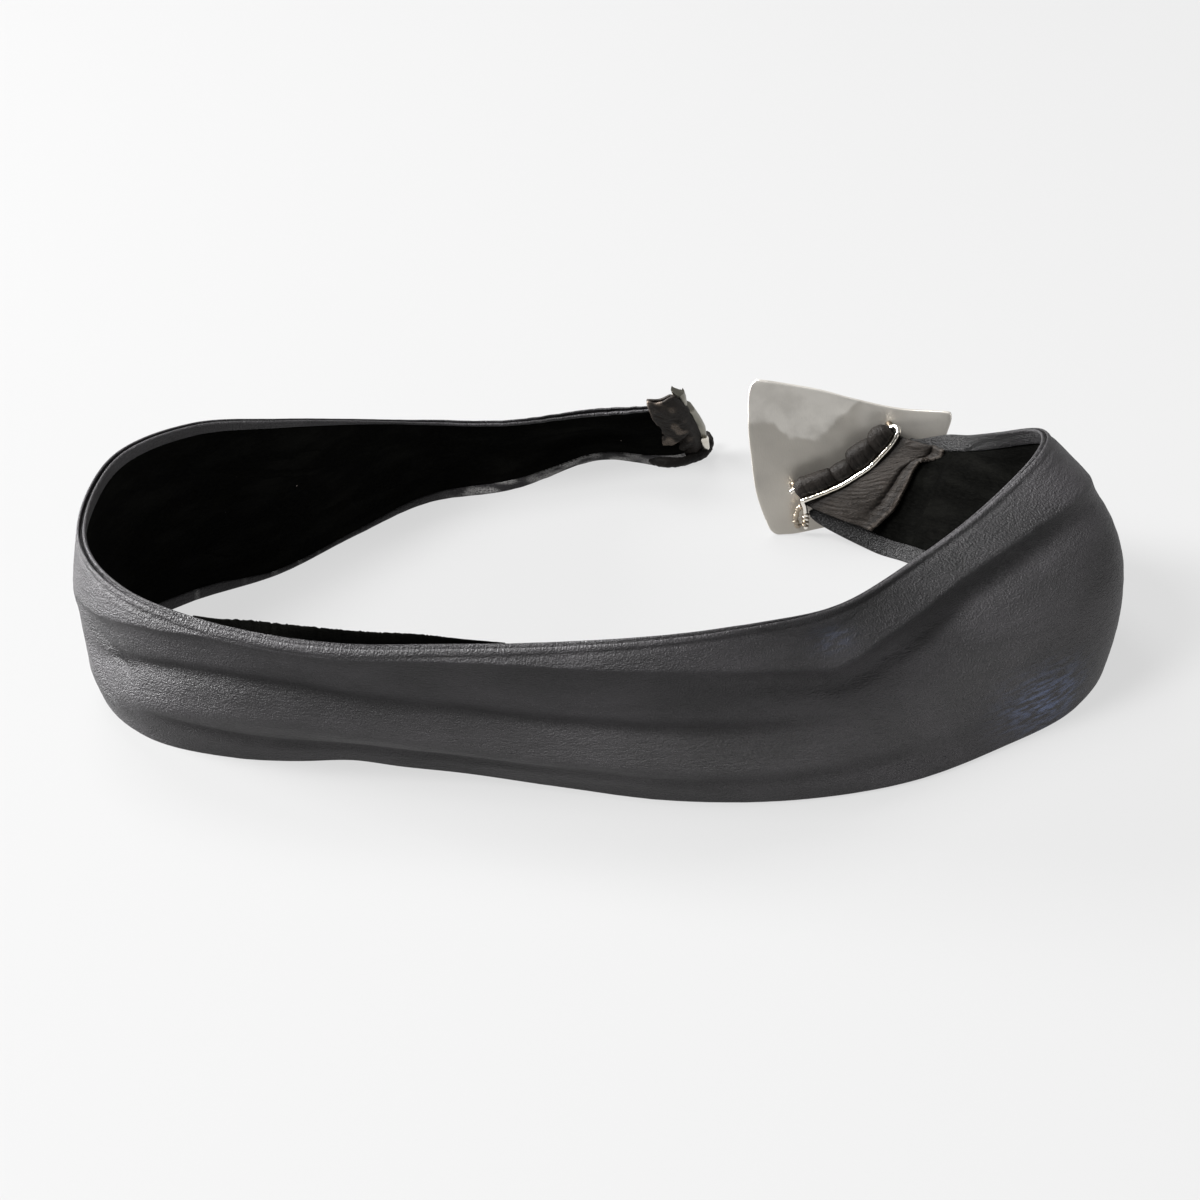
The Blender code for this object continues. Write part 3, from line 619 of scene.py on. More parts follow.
def strap_profile():
    """Section of the leather body: (share of the width, extra height, part of the hem, depth, belongs to)."""
    half = STRAP_THICK / 2
    shares = np.concatenate([np.linspace(0.0, 0.93, PANEL_STEPS), np.linspace(0.93, 1.0, 17)[1:]])
    points = [(share, 0.9 * (1 - 2 * share), 0, half, OUTER) for share in shares]
    # Upper edge: two rolled lips with a groove between them, as (height, depth below the outer side).
    upper = [(-0.45, 0.06), (-0.12, 0.25), (0.0, 0.55), (-0.12, 0.85), (-0.5, 1.02), (-1.5, 1.14),
             (-1.65, 1.5), (-1.5, 1.9), (-0.45, 2.02), (-0.08, 2.2), (0.0, 2.5), (-0.08, 2.85), (-0.3, 3.1),
             (-0.6, 3.3)]
    points += [(1, height, 0, half - depth, HEM) for height, depth in upper]
    # Inner hem, its free edge, and the bed under the lining: (height, part of the hem, depth let in).
    hem = [(0.9, 0, -0.1), (0.6, 0.25, -0.14), (0.3, 0.5, -0.1), (-0.3, 0.75, -0.13), (-0.6, 0.9, -0.12),
           (-0.15, 1, 0.02), (0, 1, 0.3), (0, 1, BED_DEPTH)]
    points += [(1, -height, -part, depth - half, HEM) for height, part, depth in hem]
    bed = np.linspace(1, 0, BED_STEPS)[1:-1]
    points += [(share, 0, 1 - 2 * share, BED_DEPTH - half, HIDDEN) for share in bed]
    points += [(0, height, part, depth - half, HEM) for height, part, depth in reversed(hem)]
    lower = [(0.45, 3.3), (0.12, 3.0), (0.0, 2.4), (0.0, 1.2), (0.1, 0.5), (0.42, 0.1)]
    points += [(0, height, 0, half - depth, HEM) for height, depth in lower]
    return points


def lining_profile():
    """Section of the suede: it dips to its bed along both hems."""
    half = STRAP_THICK / 2
    points = []
    for share in np.linspace(1, 0, 60):
        edge = 1 - min(1.0, min(share, 1 - share) * 12)
        points.append((share, 0.05 * (1 - 2 * share), 1 - 2 * share, 0.18 + 0.42 * edge**2 - half, SUEDE))
    for share in np.linspace(0, 1, BED_STEPS):
        points.append((share, 0.05 * (1 - 2 * share), 1 - 2 * share, 0.85 - half, HIDDEN))
    return points


def relief(s, run, height, width, belongs):
    """Outward push of leather and suede that have relaxed: slow swells, short wrinkles and uneven hems."""
    part = height / width
    edge_calm = rise(0.0, 6.0, height) * rise(0.0, 4.0, width - height)
    off = 0.55 * field(run / 42.0, height / 20.0, 3.1) * edge_calm
    wrinkle = 0.10 * field(run / 9.0, height / 2.8, 7.7) + 0.05 * field(run / 3.6, height / 1.7, 9.3)
    above = from_line(TOP_FOLD, s, part, width)
    creased = window(s, 16.3, 19.4, 0.8) * window(above, -8.0, -1.0, 1.5)
    wrinkle += creased * 0.38 * field(run / 2.6 + height / 6.0, height / 7.0, 12.9)
    turn = (1 - rise(9.6, 10.6, s)) * rise(8.8, 9.2, s)
    wrinkle += 0.35 * turn * field(run / 10.0, height / 5.0, 17.2)
    groove = 0.55 * hump(width - height - 2.1, 0.75)
    off += np.where(belongs == OUTER, wrinkle * edge_calm - groove, 0.0)
    left = 1 - rise(1.5, 6.0, s)
    off += np.where(belongs == HEM, (0.08 + 0.30 * left) * field(run / 4.0, height / 3.0, 21.0), 0.0)
    nap = 0.16 * field(run / 7.0, height / 4.0, 31.0)
    line = from_line([(21.4, 0.77), (24.0, 0.87)], s, part, width)
    nap += 0.35 * window(s, 21.8, 24.2, 0.6) * hump(line, 1.6)
    line = from_line([(5.6, 0.62), (7.6, 0.78)], s, part, width)
    nap -= 0.5 * window(s, 5.4, 7.4, 0.5) * hump(line, 1.8)
    return off + np.where(belongs == SUEDE, nap, 0.0)


def strap_painted_light(s, run, height, part, belongs):
    """Painted light: above 0 for painted highlights on the lower hem near the clasp end and for a slightly
    paler band low on the front, below 0 for painted shade on the hems near the buckle and on the upper band of
    the right turn.
    """
    # Painted highlights: glossy patches and flecks on the lower hem.
    patches = rise(-0.15, 0.2, field(run / 8.0, height / 3.0, 5.0))
    highlight_flecks = rise(0.25, 0.4, field(run / 4.0, height / 40.0, 6.0))
    hem = window(s, 0.35, 3.4, 0.5) * hump(part - 0.05, 0.15) * patches
    hem += 0.5 * window(s, 5.2, 7.0, 0.4) * hump(part - 0.03, 0.05) * highlight_flecks
    # Painted shade on the hems near the buckle.
    hem -= 0.75 * rise(20.6, 22.2, s)
    outer = 0.05 * window(s, 11.5, 19.0, 1.5) * hump(part - 0.3, 0.22)
    # Painted shade on the upper band of the right turn.
    outer = outer - 0.6 * window(s, 17.2, 19.2, 0.8) * rise(0.64, 0.8, part)
    return np.clip(np.where(belongs == HEM, hem, np.where(belongs == OUTER, outer, 0.0)), -1, 1)


def strap_grid(profile, places, distance):
    """Points, pelt coordinates, painted light and painted bluish sheen of a strap layer, a row for each place.
    """
    lower, up, outward, width, bulge = strap_frames(places)
    share, extra, hem_part, depth, belongs = (np.array(column)[None, :] for column in zip(*profile))
    s = places[:, None]
    width = width[:, None]
    hem_width = np.where(share > 0.5, line_at(UPPER_HEM, s), line_at(LOWER_HEM, s))
    blended = line_at(UPPER_HEM, s) * share + line_at(LOWER_HEM, s) * (1 - share)
    height = share * width + extra + hem_part * np.where(belongs >= HIDDEN, blended, hem_width)
    part = height / width
    thin = np.interp(places, [0.3, 1.6, 23.6, 25.4], [0.62, 1.0, 1.0, 0.5])[:, None]
    low_share = 1 - rise(0.0, 0.45, part)
    tuck = 2.0 * hump(s - 0.55, 0.4) * low_share
    run = distance[:, None] + np.zeros_like(height)
    off = depth * thin + 4 * bulge[:, None] * part * (1 - part) + folds(s, part, width) - tuck
    off += relief(s, run, height, width, belongs)

    points = lower[:, None, :] + up[:, None, :] * height[..., None] + outward[:, None, :] * off[..., None]
    lift = 1.5 * hump(s - 12.15, 0.33) * low_share
    points[..., 2] = np.maximum(points[..., 2], 0.02) + lift
    pelt = np.stack([run, height + np.where(off < 0, 200.0, 0.0), np.zeros_like(run)], axis=-1)
    # Painted bluish sheen: a streaky patch low on the right turn, and a faint one near its upper edge.
    painted_reflection = hump((s - 18.6) * 36, 15.0) * hump((part - 0.13) * width, 8.0)
    painted_reflection = painted_reflection + 0.25 * hump((s - 16.7) * 37, 8.0) * hump((part - 0.86) * width, 4.0)
    return points, pelt, strap_painted_light(s, run, height, part, belongs), np.clip(painted_reflection, 0, 1)


def middle_point(place):
    """The strap's middle line at a place, in metres."""
    lower, up, _, width, _ = strap_frames(np.array([place]))
    return tuple((lower[0] + up[0] * width[0] / 2 - PLAN_CENTRE) * MM)


def build_strap(leather, suede):
    places, distance = even_places()
    cuts = [int(np.argmin(abs(places - split))) for split in SPLITS]
    layers = (("strap", strap_profile(), leather, "black_leather", FACE_NODES),
              ("lining", lining_profile(), suede, "black_suede", LINING_NODES))
    for layer, profile, material, slot, nodes in layers:
        grid, pelt, painted_light, painted_reflection = strap_grid(profile, places, distance)
        normals = grid_normals(grid, closed=True)
        for which, (centre, half, before, after) in enumerate(BENDS):
            cut = slice(cuts[which], cuts[which + 1] + 1)
            item = section_mesh(layer + "_" + NAMES[which], grid[cut], normals[cut], material,
                                pelt[cut], painted_light[cut], painted_reflection[cut])
            middle_point(centre - half)
            middle_point(centre + half)
            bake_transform(item)
            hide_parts(*nodes[which])


def build_loose_edge(suede):
    """The lining's raw edge, which stands up ragged behind the upper edge at the front left."""
    rows, columns = 9, 190
    places = np.linspace(10.75, 13.55, columns)
    lower, up, outward, width, _ = strap_frames(places)
    tall = np.interp(places, [10.75, 11.1, 11.4, 11.8, 12.1, 12.6, 13.1, 13.55],
                     [-1.6, 0.9, 2.4, 3.4, 3.3, 2.2, 0.4, -1.8])
    ragged = 0.6 * np.array([noise_at(place * 22, 0.0, 5.0) + noise_at(place * 60, 2.0, 5.0)
                             for place in places])
    grid = []
    for share in np.linspace(0, 1, rows):
        height = width - 3.0 + (3.0 + tall + ragged * rise(0.0, 1.5, tall)) * share
        depth = -STRAP_THICK / 2 - 0.42 - 1.0 * share * rise(0.0, 2.0, tall) + 0.1 * ragged * share
        grid.append(lower + up * height[:, None] + outward * depth[:, None])
    level, along = np.meshgrid(np.arange(rows), places * 37, indexing="ij")
    pelt = np.stack([along, level, np.zeros((rows, columns))], axis=-1)
    item = sheet_mesh("lining_loose_edge", np.array(grid), 0.5, suede, pelt)
    attach(item, "middle", "black_suede")


# Buckle end ------------

def build_bail(material):
    """The wire: up from the plate, along the front leg, round its upper end and back inside the leather."""
    path = [plate_point(11.2, 2.6, 1.6), plate_point(11.3, 3.6, 3.2), plate_point(11.1, 6.5, 4.6),
            plate_point(10.8, 10.2, 6.0), plate_point(10.3, 13.6, 7.8), bail_point(-1.3, -1.2, 8.7)]
    path += [bail_point(along, across, BAIL_FRONT_LIFT) for along, across in smooth_line(BAIL_LEG, 60)]
    path += [bail_point(43.5, 2.7, 8.0), bail_point(43.1, 3.5, 7.0), bail_point(42.0, 4.0, 6.3)]
    path += [bail_point(along, min(line_at(BAIL_LEG, along) + 4.3, 4.0), BAIL_BACK_LIFT)
             for along in np.linspace(40, 0, 24)]
    path += [bail_point(-1.6, 3.9, 6.1), bail_point(-3.4, 3.7, 6.0)]
    item = tube_mesh("bail_wire", smooth_line(path, 330), WIRE / 2 - 0.12, material, lumps=0.06)
    attach(item, "buckle", "bright_silver", "strap_bail")


def even_outline(outline, count):
    """Points at equal steps along a closed smooth line through the outline's corners."""
    corners = np.array(outline, dtype=float)
    looped = np.vstack([corners[-1:], corners, corners[:2]])
    dense = spline(looped, np.linspace(1, len(corners) + 1, 3000))
    run = np.concatenate([[0.0], np.cumsum(np.linalg.norm(np.diff(dense, axis=0), axis=1))])
    marks = np.linspace(0, run[-1], count, endpoint=False)
    return np.stack([np.interp(marks, run, dense[:, k]) for k in (0, 1)], axis=1)


# Where the painted pale reflection on the plate's upper part begins, as (right, up).
REFLECTION_BORDER = [
    (-12, 46.5), (-10, 45.9), (-5, 46.2), (-1.8, 44.8), (1.5, 41.5), (4.4, 39.4), (8, 38.6), (12.6, 37.7),
    (16, 39.0), (18.6, 41.6), (21.5, 45.5), (24.5, 48.1), (27.4, 51.0), (30.0, 53.5), (65, 70),
]


def plate_surface(r, u):
    """Lift of the plate's middle surface: its bow and the unevenness of hand-worked sheet."""
    swell = 0.22 * noise_at(r / 15, u / 12, 2.0) + 0.05 * noise_at(r / 5, u / 4.5, 4.0)
    dent = -0.35 * hump(r - 24, 5) * hump(u - 46, 4)
    return plate_lift(r) + swell + dent


def plate_looks(r, u, on_rim):
    """Painted reflection and painted shade at a point of the plate: a painted pale reflection on the upper
    part, a painted highlight along the lower rim, painted shade along the lower edge.
    """
    # Painted highlight along the lower rim.
    if on_rim and u < 6:
        return 1.0, 0.0
    # Painted pale reflection above the border and on the upper right corner.
    border = line_at(REFLECTION_BORDER, r) + 1.2 * noise_at(r / 3, u / 3, 6.0)
    corner = 0.5 * rise(27, 33, r) * rise(38, 45, u)
    # Painted shade along the lower edge.
    darker_tone = np.exp(-max(u - 5.0, 0) / 4.0) * rise(-6, 6, r)
    return max(rise(-1.3, 1.3, u - border), corner), darker_tone


def build_plate(material):
    """The bowed plate with a rounded rim, as rings that shrink from the outline to a hub on each side."""
    count, flat_rings, rim_inset = 260, 28, 0.4
    outline = even_outline(PLATE_OUTLINE, count)
    centre = outline.mean(axis=0)
    rim = rim_inset / np.mean(np.linalg.norm(outline - centre, axis=1))
    quarter = pi / 2
    rings = [(1 - rim * (1 - cos(a)), sin(a), a < quarter) for a in np.linspace(0, quarter, 5)]
    rings += [(share * (1 - rim), 1.0, False) for share in np.linspace(1, 0, flat_rings + 2)[1:-1]]
    points, looks = [], []
    for side in (1, -1):
        for share, height, on_rim in rings:
            for r, u in centre + (outline - centre) * share:
                points.append(plate_point(r, u, plate_surface(r, u) + side * height * PLATE_THICK / 2))
                looks.append(plate_looks(r, u, on_rim))
    for side in (1, -1):
        points.append(plate_point(*centre, plate_surface(*centre) + side * PLATE_THICK / 2))
        looks.append((0.0, 0.0))
    half = len(rings) * count
    faces = []
    for offset, hub, step in ((0, 2 * half, 1), (half, 2 * half + 1, -1)):
        last = offset + half - count
        side_faces = ring_faces(len(rings), count, offset)
        side_faces += [(last + j, last + (j + 1) % count, hub) for j in range(count)]
        faces += [face[::step] for face in side_faces]
    faces += [(half + j, half + (j + 1) % count, (j + 1) % count, j) for j in range(count)]
    painted_reflection, painted_light = np.array(looks).T
    item = build_mesh("plate_sheet", points, faces, material, points, painted_light, painted_reflection)
    attach(item, "buckle", "satin_silver", "buckle_plate")


RUFFLES = [-1.3, 13.7, 21.2, 31.9, 41.2]      # where the gathers pinch in, along the bail
SMALL_PLEATS = [2.6, 6.4, 10.2, 17.6, 24.4, 28.2, 34.6, 38.0]
RUFFLE_EDGE = [
    (-1.3, 4.9), (0.6, 6.4), (2.5, 7.0), (6.0, 6.0), (10.4, 4.9), (13.0, 4.0), (13.7, 2.9), (14.5, 3.6),
    (16.3, 3.9), (19.8, 3.5), (21.2, 2.9), (22.1, 5.0), (23.4, 5.9), (27.3, 6.2), (31.0, 5.8), (31.9, 5.2),
    (33.3, 6.8), (36.0, 7.9), (38.8, 7.2), (41.2, 4.8),
]
FLAP_END = [
    (14.6, -22.2, 15.0), (19.2, -21.8, 14.8), (25.6, -20.4, 14.5), (31.5, -17.4, 14.0), (36.4, -14.4, 13.6),
    (40.6, -11.8, 13.2), (44.6, -10.6, 13.0), (48.6, -12.2, 13.2), (52.0, -12.8, 13.8), (53.6, -11.0, 14.2),
]


def crown(along):
    """0 where the gathered leather pinches in and 1 on the crown of each gather."""
    height = 0.0
    for start, end in zip(RUFFLES, RUFFLES[1:]):
        if start <= along <= end:
            height = sin(pi * (along - start) / (end - start)) ** 0.45
    for pleat in SMALL_PLEATS:
        height -= 0.12 * hump(along - pleat, 0.6)
    return height


def gather_fold(along, full):
    """The leather's way up from the plate, round the bail's back leg and over to the front leg."""
    leg = line_at(BAIL_LEG, along)
    radius = 1.4 + 1.3 * full
    centre = line_at(RUFFLE_EDGE, along) - radius - 0.5
    middle_lift = BAIL_BACK_LIFT + 0.5 * full
    top = middle_lift + radius
    lean = 0.3 * noise_at(along / 2.6, 0.0, 40.0)
    path = [(along, leg - 2.6, 5.6), (along, leg - 0.8, 4.6), (along, min(0.6, centre - 1.6), 4.3),
            (along, centre - 0.8, 4.3)]
    for a in np.linspace(-pi / 2, pi / 2, 9):
        out = sin(a)
        path.append((along + lean * out, centre + radius * cos(a), middle_lift + radius * out))
    path.append((along + lean, (centre + leg) / 2 + 0.9, top - 0.2 + 0.35 * full))
    path.append((along + lean, leg + 1.7, top - 0.7))
    path.append((along, leg + 0.7, BAIL_FRONT_LIFT - 1.9))
    return path


def flap_lift(along, full, v, q):
    """Rise of the free flap's wrinkles, v along the bail and q from the bail to the flap's end."""
    swell = 1.5 * sin(pi * q) * (1 - 0.5 * q)
    pleat = (0.8 * full - 0.4) * exp(-3.5 * q)
    first = noise_at(along / 5.0 + q * 1.8, q * 1.7, 8.0)
    second = noise_at(along / 2.2 - q * 2.6, q * 3.2, 9.0)
    sharp = 0.9 * (0.5 - abs(first)) + 0.45 * (0.5 - abs(second))
    hollow = -0.9 * hump(q - 0.78, 0.06) * rise(0.05, 0.3, v)
    curl = 1.5 * rise(0.84, 1.0, q) * (0.35 + 0.65 * rise(0.7, 0.95, v))
    return swell + pleat + (sharp + hollow) * rise(0.0, 0.15, q) + curl


def build_gather(leather):
    """The strap's buckle end: gathered under the bail, turned round its back leg, with a wrinkled flap."""
    rows, columns = 200, 110
    grid = []
    for v, end in zip(np.linspace(0, 1, rows), smooth_line(FLAP_END, rows)):
        along = -1.2 + 42.2 * v
        full = crown(along)
        path = gather_fold(along, full)
        across = line_at(BAIL_LEG, along) - 1.0 - 2.2 * (1 - v) ** 9
        start = np.array([-0.7 + 43.0 * v, across, BAIL_FRONT_LIFT - 1.5])
        for q in np.linspace(0, 1, 27):
            path.append(start + (end - start) * q + np.array([0.0, 0.0, flap_lift(along, full, v, q)]))
        grid.append([bail_point(*point) for point in smooth_line(path, columns)])
    thick = np.interp(np.linspace(0, 1, columns), [0, 0.6, 0.9, 1], [1.0, 1.0, 1.3, 1.9])
    run, reach = np.meshgrid(np.linspace(0, 46, rows), np.linspace(0, 1, columns), indexing="ij")
    pelt = np.stack([reach * 44, run + 400, np.zeros_like(run)], axis=-1)
    # Painted highlight along the flap's rolled free edge, with a faint paler band across its middle and a
    # slightly paler tone all over.
    painted_light = 0.03 + 0.22 * rise(0.95, 1.0, reach) + 0.07 * window(reach, 0.5, 0.9, 0.05)
    item = sheet_mesh("buckle_gather", np.array(grid), thick, leather, pelt, painted_light)
    attach(item, "buckle", "black_leather", "buckle_end_fold")


def build_catch(material):
    """The lumpy soldered catch beside the wire's foot, and the winding on the wire."""
    path = [(9.4, 13.0, 6.2), (8.5, 12.3, 5.4), (7.8, 10.2, 4.9), (7.3, 7.6, 4.6), (7.6, 5.4, 4.0),
            (8.2, 4.0, 3.2), (8.6, 3.2, 1.6)]
    dense = smooth_line([plate_point(*point) for point in path], 60)
    radii = [0.9 + 0.16 * sin(i * 0.55) + 0.08 * sin(i * 1.3) for i in range(60)]
    item = tube_mesh("catch_wire", dense, radii, material, lumps=0.35)
    attach(item, "buckle", "bright_silver", "catch_staple")
    coil = []
    for k in range(60):
        a = 2 * pi * k / 17
        up = 4.2 + 6.4 * k / 60
        coil.append(plate_point(11.05 + 1.1 * cos(a), up, 3.9 + 0.28 * (up - 3) + 1.1 * sin(a)))
    item = tube_mesh("catch_winding", coil, 0.34, material, sides=8, lumps=0.15)
    attach(item, "buckle", "bright_silver", "catch_collar")


def build_posts(material):
    """Turned posts under the wire's ends, with a small solder foot."""
    for name, along, across in (("bail_post_lower", -1.6, 3.9), ("bail_post_upper", 41.0, 3.7)):
        foot = bail_point(along, across, 0.0) - PLATE_ORIGIN
        low = plate_lift(np.dot(foot, PLATE_RIGHT)) + PLATE_THICK / 2
        lifts = np.linspace(low, BAIL_BACK_LIFT - WIRE / 2 + 0.5, 14)
        radii = [0.9 + 0.6 * exp(-(lift - low) / 0.5) + 0.15 * sin(lift * 4) for lift in lifts]
        path = [bail_point(along, across, lift) for lift in lifts]
        item = tube_mesh("turned_" + name, path, radii, material, lumps=0.25)
        attach(item, "buckle", "bright_silver", name)


# Clasp end ------------

CAST_RIGHT = [
    (-2.0, 5.0), (4.0, 6.0), (7.7, 6.6), (10.6, 7.1), (14.0, 7.4), (19.0, 7.0), (22.4, 6.6), (26.0, 6.0),
    (28.6, 5.5), (29.8, 4.6), (30.6, 3.4), (31.6, 3.1), (33.5, 3.6), (38.0, 4.0), (43.0, 4.0),
]
CAST_WALL = 1.1
CAST_TOP = [
    (-1.5, 43.0), (-0.8, 44.5), (0.0, 46.0), (0.8, 43.6), (1.6, 41.8), (2.6, 42.2), (3.6, 42.9), (4.2, 41.0),
]


def casting_ring(up, edge):
    """Section of the cast hook at a height, as (along, out): its wall, its open side and its free edge."""
    left = -1.2 + 0.01 * up
    deep = 3.6 - 2.2 * rise(30, 38, up)
    ring = [(left, 0.2), (left + 0.3, -0.9)]
    ring += [(left + 0.6 + (edge - left - 1.3) * k / 7, -1.35 - 0.3 * sin(up / 2.7 + k) ** 2)
             for k in range(8)]
    ring += [(edge - 0.25, -0.9), (edge, -0.2), (edge, 0.9), (edge - 0.35, 1.5), (edge - 1.0, deep - 0.6),
             (edge - 1.3, deep), (edge - 1.8, deep), (edge - 2.1, deep - 0.5), (edge - 1.9, CAST_WALL)]
    return ring + [(left + CAST_WALL, CAST_WALL), (left + CAST_WALL, deep - 0.4), (left + 0.7, deep - 0.1),
                   (left + 0.2, deep - 0.5)]


def build_casting(material):
    """The cast hook: a channel open outward, with a lobed free edge and two points at its upper end."""
    rows = []
    for up in np.concatenate([np.linspace(-2.0, 34.0, 60), np.linspace(34.6, 42.0, 14)]):
        peak = rise(33.0, 42.0, up)
        rows.append([clasp_point(along, up + peak * (line_at(CAST_TOP, along) - 42.0), out)
                     for along, out in casting_ring(up, line_at(CAST_RIGHT, up))])
    grid = np.array(rows)
    item = section_mesh("clasp_casting", grid, grid_normals(grid, closed=True), material, grid)
    attach(item, "clasp_end", "bright_silver", "clasp_channel")


def squarish(x):
    """A cosine or sine bent so that its circle becomes a square with round corners."""
    return copysign(abs(x) ** 0.55, x)


def build_clasp_metal(material):
    """The bar in the leather's turn, and its two lugs. The lower lug shows beside the leather."""
    path = [clasp_point(-3.0, up, -0.75) for up in np.linspace(-0.6, 40.2, 24)]
    item = tube_mesh("clasp_bar", path, WIRE / 2, material, lumps=0.05)
    attach(item, "clasp_end", "bright_silver", "fold_bar")
    for end, low, high, left, right, out, lean in (("lower", 1.0, 10.4, 3.4, 6.8, -1.9, 1.0),
                                                   ("upper", 37.8, 40.4, -2.2, 0.4, -0.9, 0.0)):
        rows = []
        for t in np.linspace(0, 1, 14):
            inset = 0.6 * (1 - min(1.0, min(t, 1 - t) * 6)) ** 2
            wide = (right - left) / 2 - inset
            ring = []
            for j in range(20):
                a = 2 * pi * j / 20
                along = (left + right) / 2 + lean * t + wide * squarish(cos(a))
                depth = out + (1.0 - inset * 0.5) * squarish(sin(a))
                ring.append(clasp_point(along, low + (high - low) * t, depth))
            rows.append(ring)
        grid = np.array(rows)
        item = section_mesh("polished_lug_" + end, grid, grid_normals(grid, closed=True), material, grid)
        attach(item, "clasp_end", "bright_silver", "bar_lug_" + end)


FLAP_LEFT = [
    (-1, -10.5), (5, -11.3), (8.8, -11.0), (14.0, -9.8), (19.5, -9.0), (23.7, -8.8), (28.0, -9.4),
    (32.6, -10.2), (40.8, -10.4), (44.2, -10.2),
]
FLAP_RIGHT = [(-1, 3.4), (8, 4.2), (12.7, 4.8), (22.4, 4.4), (31.6, 3.2), (38.0, 1.9), (44.2, 0.4)]


def clasp_flap_depth(v, q, closing):
    """Depth of the clasp end's flap, with its sharp wrinkles and two slanting grooves."""
    first = noise_at(v * 6.0 + q * 1.1, q * 1.6, 14.0)
    second = noise_at(v * 14.0 - q * 2.4, q * 3.0, 15.0)
    sharp = 1.5 * (0.4 - abs(first)) + 0.8 * (0.4 - abs(second))
    groove = -2.2 * hump(v - 0.44 + 0.30 * q, 0.04) - 1.2 * hump(v - 0.20 + 0.10 * q, 0.03)
    ease = rise(0.0, 0.25, q) * (1 - 0.6 * closing) * (1 - 0.7 * rise(0.75, 1.0, q))
    return min(-4.1 - 0.5 * sin(pi * q) - (sharp + groove) * ease, -3.3) + 0.9 * closing


def build_clasp_fold(leather):
    """The strap's clasp end: pulled round the bar, its wrinkled flap lying on the inner side."""
    rows, columns = 130, 84
    grid = []
    for v in np.linspace(0, 1, rows):
        up = -0.6 + 44.6 * v
        pinch = 0.6 * abs(sin(pi * (v * 3.2 + 0.15))) ** 0.7
        reach = line_at(FLAP_RIGHT, up)
        end = line_at(FLAP_LEFT, up)
        closing = rise(0.80, 0.99, v)
        back = 0.9 - 3.1 * closing
        path = [(end - 1.2 * (1 - closing), back - 0.2), (-6.0, back), (-3.0, back + 0.1),
                (reach - 1.8, back + 0.1 + 0.3 * pinch)]
        radius = (back + 2.9) / 2
        for k in range(1, 8):
            a = pi / 2 - pi * k / 8
            path.append((reach - 1.8 + 1.8 * cos(a), back - radius + radius * sin(a)))
        for q in np.linspace(0, 1, 15):
            path.append((reach - 2.4 + (end - (reach - 2.4)) * q, clasp_flap_depth(v, q, closing)))
        tip = rise(0.9, 1.0, v)
        grid.append([clasp_point(along, up + tip * (0.8 * cos(along * 0.62 + 0.6) - 0.5), out)
                     for along, out in smooth_line(path, columns)])
    grid = np.array(grid)
    grid[..., 2] = np.maximum(grid[..., 2], 0.6)
    v, q = np.meshgrid(np.linspace(0, 45, rows), np.linspace(0, 1, columns), indexing="ij")
    pelt = np.stack([q * 34, v + 600, np.zeros_like(q)], axis=-1)
    # Painted highlights: tan patches on the flap's outer part and a pale free edge, over a slightly paler tone
    # all over.
    patch = rise(0.05, 0.35, field(q * 4, v / 6, 16.0))
    painted_light = 0.08 + 0.35 * rise(0.95, 1.0, q) + 0.85 * patch * rise(0.40, 0.52, q)
    item = sheet_mesh("clasp_fold", grid, 1.0, leather, pelt, np.clip(painted_light, 0, 1))
    attach(item, "clasp_end", "black_leather", "clasp_end_fold")


def build_corner_curl(leather):
    """The lower corner of the clasp end's leather, which runs on under the lug and curls up beside it."""
    path = [(17.0, 156.0, 1.9), (21.0, 154.0, 2.1), (25.7, 152.0, 2.5), (31.6, 153.0, 2.6),
            (37.3, 156.3, 2.8), (41.5, 160.0, 3.6), (43.0, 165.0, 5.0), (42.3, 169.5, 6.4)]
    dense = smooth_line(path, 70)
    radii = np.interp(np.linspace(0, 1, 70), [0, 0.2, 0.5, 0.8, 0.95, 1], [0.8, 2.4, 3.0, 2.5, 1.6, 0.7])
    radii = np.minimum(radii, dense[:, 2] - 0.05)
    item = tube_mesh("clasp_corner_curl", dense, radii, leather, lumps=0.35)
    attach(item, "clasp_end", "black_leather")


# Stage ------------

FLOOR_HALF = 6.0          # in metres, like every place of the stage
FLOOR_GLOW = 0.64         # the floor lights itself in part, which keeps its shadows faint
FLOOR_TONE = 0.055
WORLD_GLOW = 0.30
LIGHTS = [                # name, place, aimed at, size, power
    ("key", (-0.8, 1.0, 2.4), (0, 0, 0), 1.2, 100.0),
    ("fill", (-2.0, -0.8, 2.3), (0, 0, 0), 1.2, 310.0),
    ("side", (-2.2, 0.5, 0.7), (0, 0, 0.04), 0.8, 240.0),
    ("right", (2.0, -1.7, 0.4), (0.05, 0, 0.03), 0.9, 40.0),
]
CAMERA_LENS = 87.0
CAMERA_ELEVATION = radians(31)
CAMERA_TARGET = Vector((-0.0028, -0.0382, 0.030))
CAMERA_DISTANCE = 1.0


def build_stage():
    floor = bpy.data.meshes.new("studio_floor")
    corners = [(x * FLOOR_HALF, y * FLOOR_HALF, 0) for x, y in ((-1, -1), (1, -1), (1, 1), (-1, 1))]
    floor.from_pydata(corners, [], [(0, 1, 2, 3)])
    floor.materials.append(Shader("pale_floor").finish(
        Base_Color=(FLOOR_TONE, FLOOR_TONE, FLOOR_TONE), Roughness=1.0, Specular_IOR_Level=0.0,
        Emission_Color=(1.0, 1.0, 1.0), Emission_Strength=FLOOR_GLOW))
    add_object("studio_floor", floor)


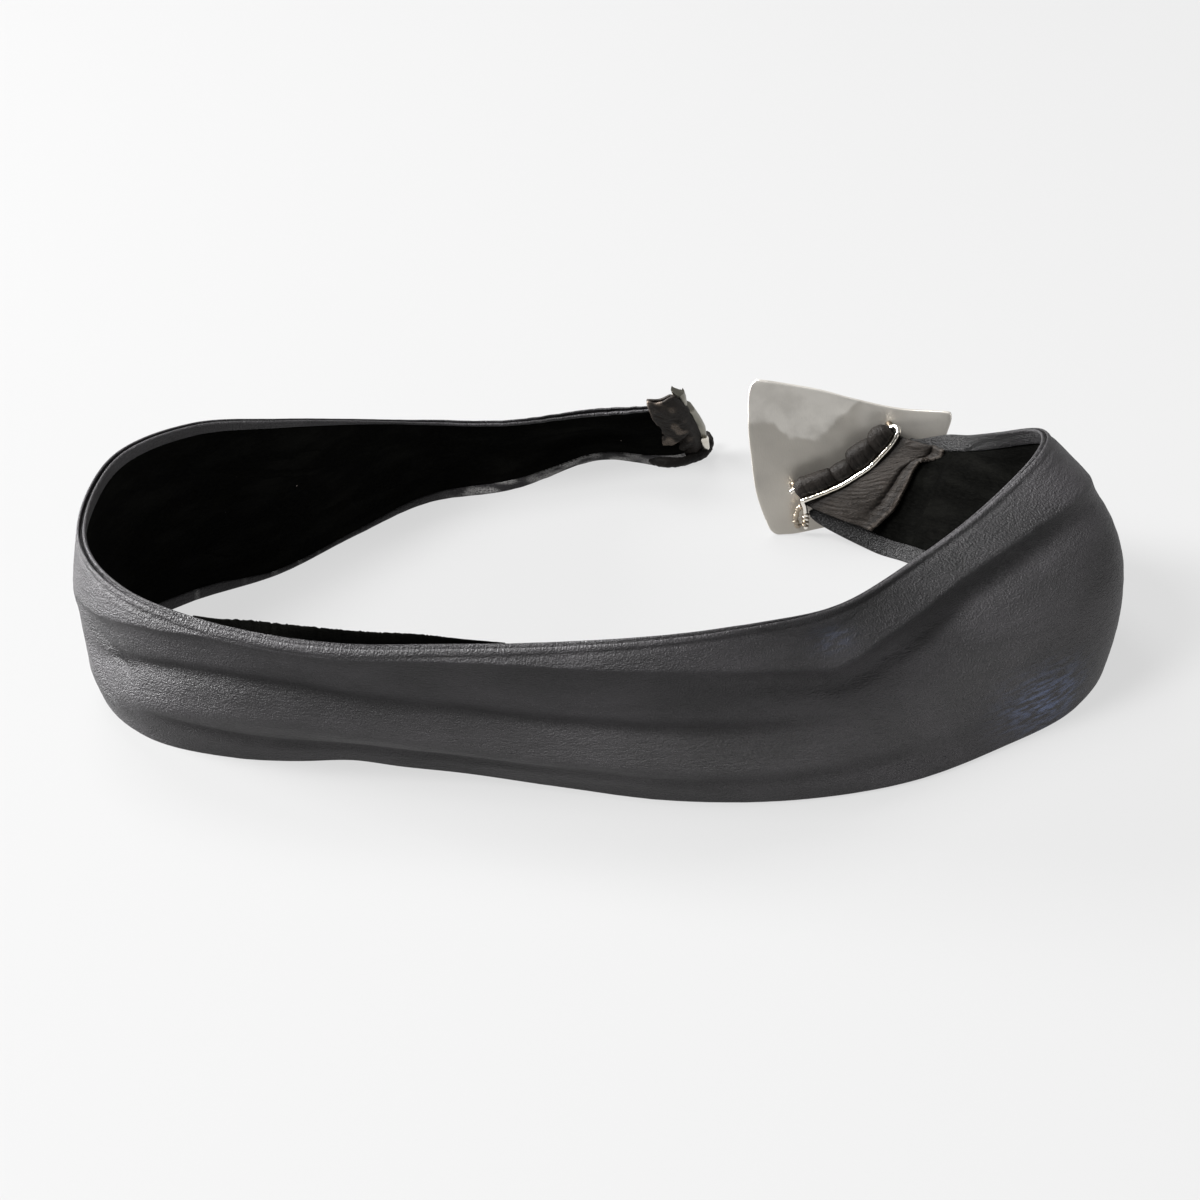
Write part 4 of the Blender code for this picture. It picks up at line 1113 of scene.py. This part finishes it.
def build_light():
    world = bpy.data.worlds.new("studio")
    bpy.context.scene.world = world
    world.use_nodes = True
    background = world.node_tree.nodes["Background"]
    background.inputs["Color"].default_value = (1.0, 1.0, 1.0, 1.0)
    background.inputs["Strength"].default_value = WORLD_GLOW
    for name, place, target, size, power in LIGHTS:
        light = bpy.data.lights.new(name, "AREA")
        light.shape = "RECTANGLE"
        light.size = light.size_y = size
        light.energy = power
        item = add_object(name, light)
        item.location = place
        item.rotation_euler = (Vector(target) - Vector(place)).to_track_quat("-Z", "Y").to_euler()


def build_camera():
    camera = bpy.data.cameras.new("camera")
    camera.sensor_width = 36.0
    camera.lens = CAMERA_LENS
    item = add_object("camera", camera)
    back = Vector((0.0, -cos(CAMERA_ELEVATION), sin(CAMERA_ELEVATION)))
    item.location = CAMERA_TARGET + back * CAMERA_DISTANCE
    item.rotation_euler = (-back).to_track_quat("-Z", "Y").to_euler()
    bpy.context.scene.camera = item


build_camera()
build_stage()
build_light()
# The pale colour serves the scuffs and the painted highlights on the hems.
strap_leather = leather_material(
    "black_strap_leather", (0.0145, 0.0138, 0.0146), (0.024, 0.0225, 0.0243), (0.26, 0.255, 0.25))
# Painted shade: the turned ends use the strap's leather made darker and browner; its tan colour serves scuffs
# and painted highlights.
flap_leather = leather_material(
    "flap_leather_painted_darker", (0.0040, 0.0035, 0.0032), (0.0095, 0.0081, 0.0071), (0.125, 0.102, 0.084),
    0.52, 0.0004, 0.10)
suede_nap = suede_material()
bright = metal_material("bright_silver_wire", (0.86, 0.83, 0.77), (0.66, 0.60, 0.50), 0.16, 0.3, 0.3)
# Painted shade: the cast hook's silver is made much darker than the wire's.
cast = metal_material("cast_silver_painted_darker", (0.30, 0.285, 0.245), (0.19, 0.185, 0.155), 0.40, 0.7, 1.4)
solder = metal_material("soldered_silver", (0.34, 0.29, 0.23), (0.07, 0.05, 0.035), 0.42, 0.95, 2.0)
build_strap(strap_leather, suede_nap)
build_loose_edge(suede_nap)
build_bail(bright)
build_plate(plate_material())
build_gather(flap_leather)
build_catch(solder)
build_posts(solder)
build_casting(cast)
build_clasp_metal(bright)
build_clasp_fold(flap_leather)
build_corner_curl(flap_leather)
bpy.context.scene.view_settings.view_transform = "Standard"
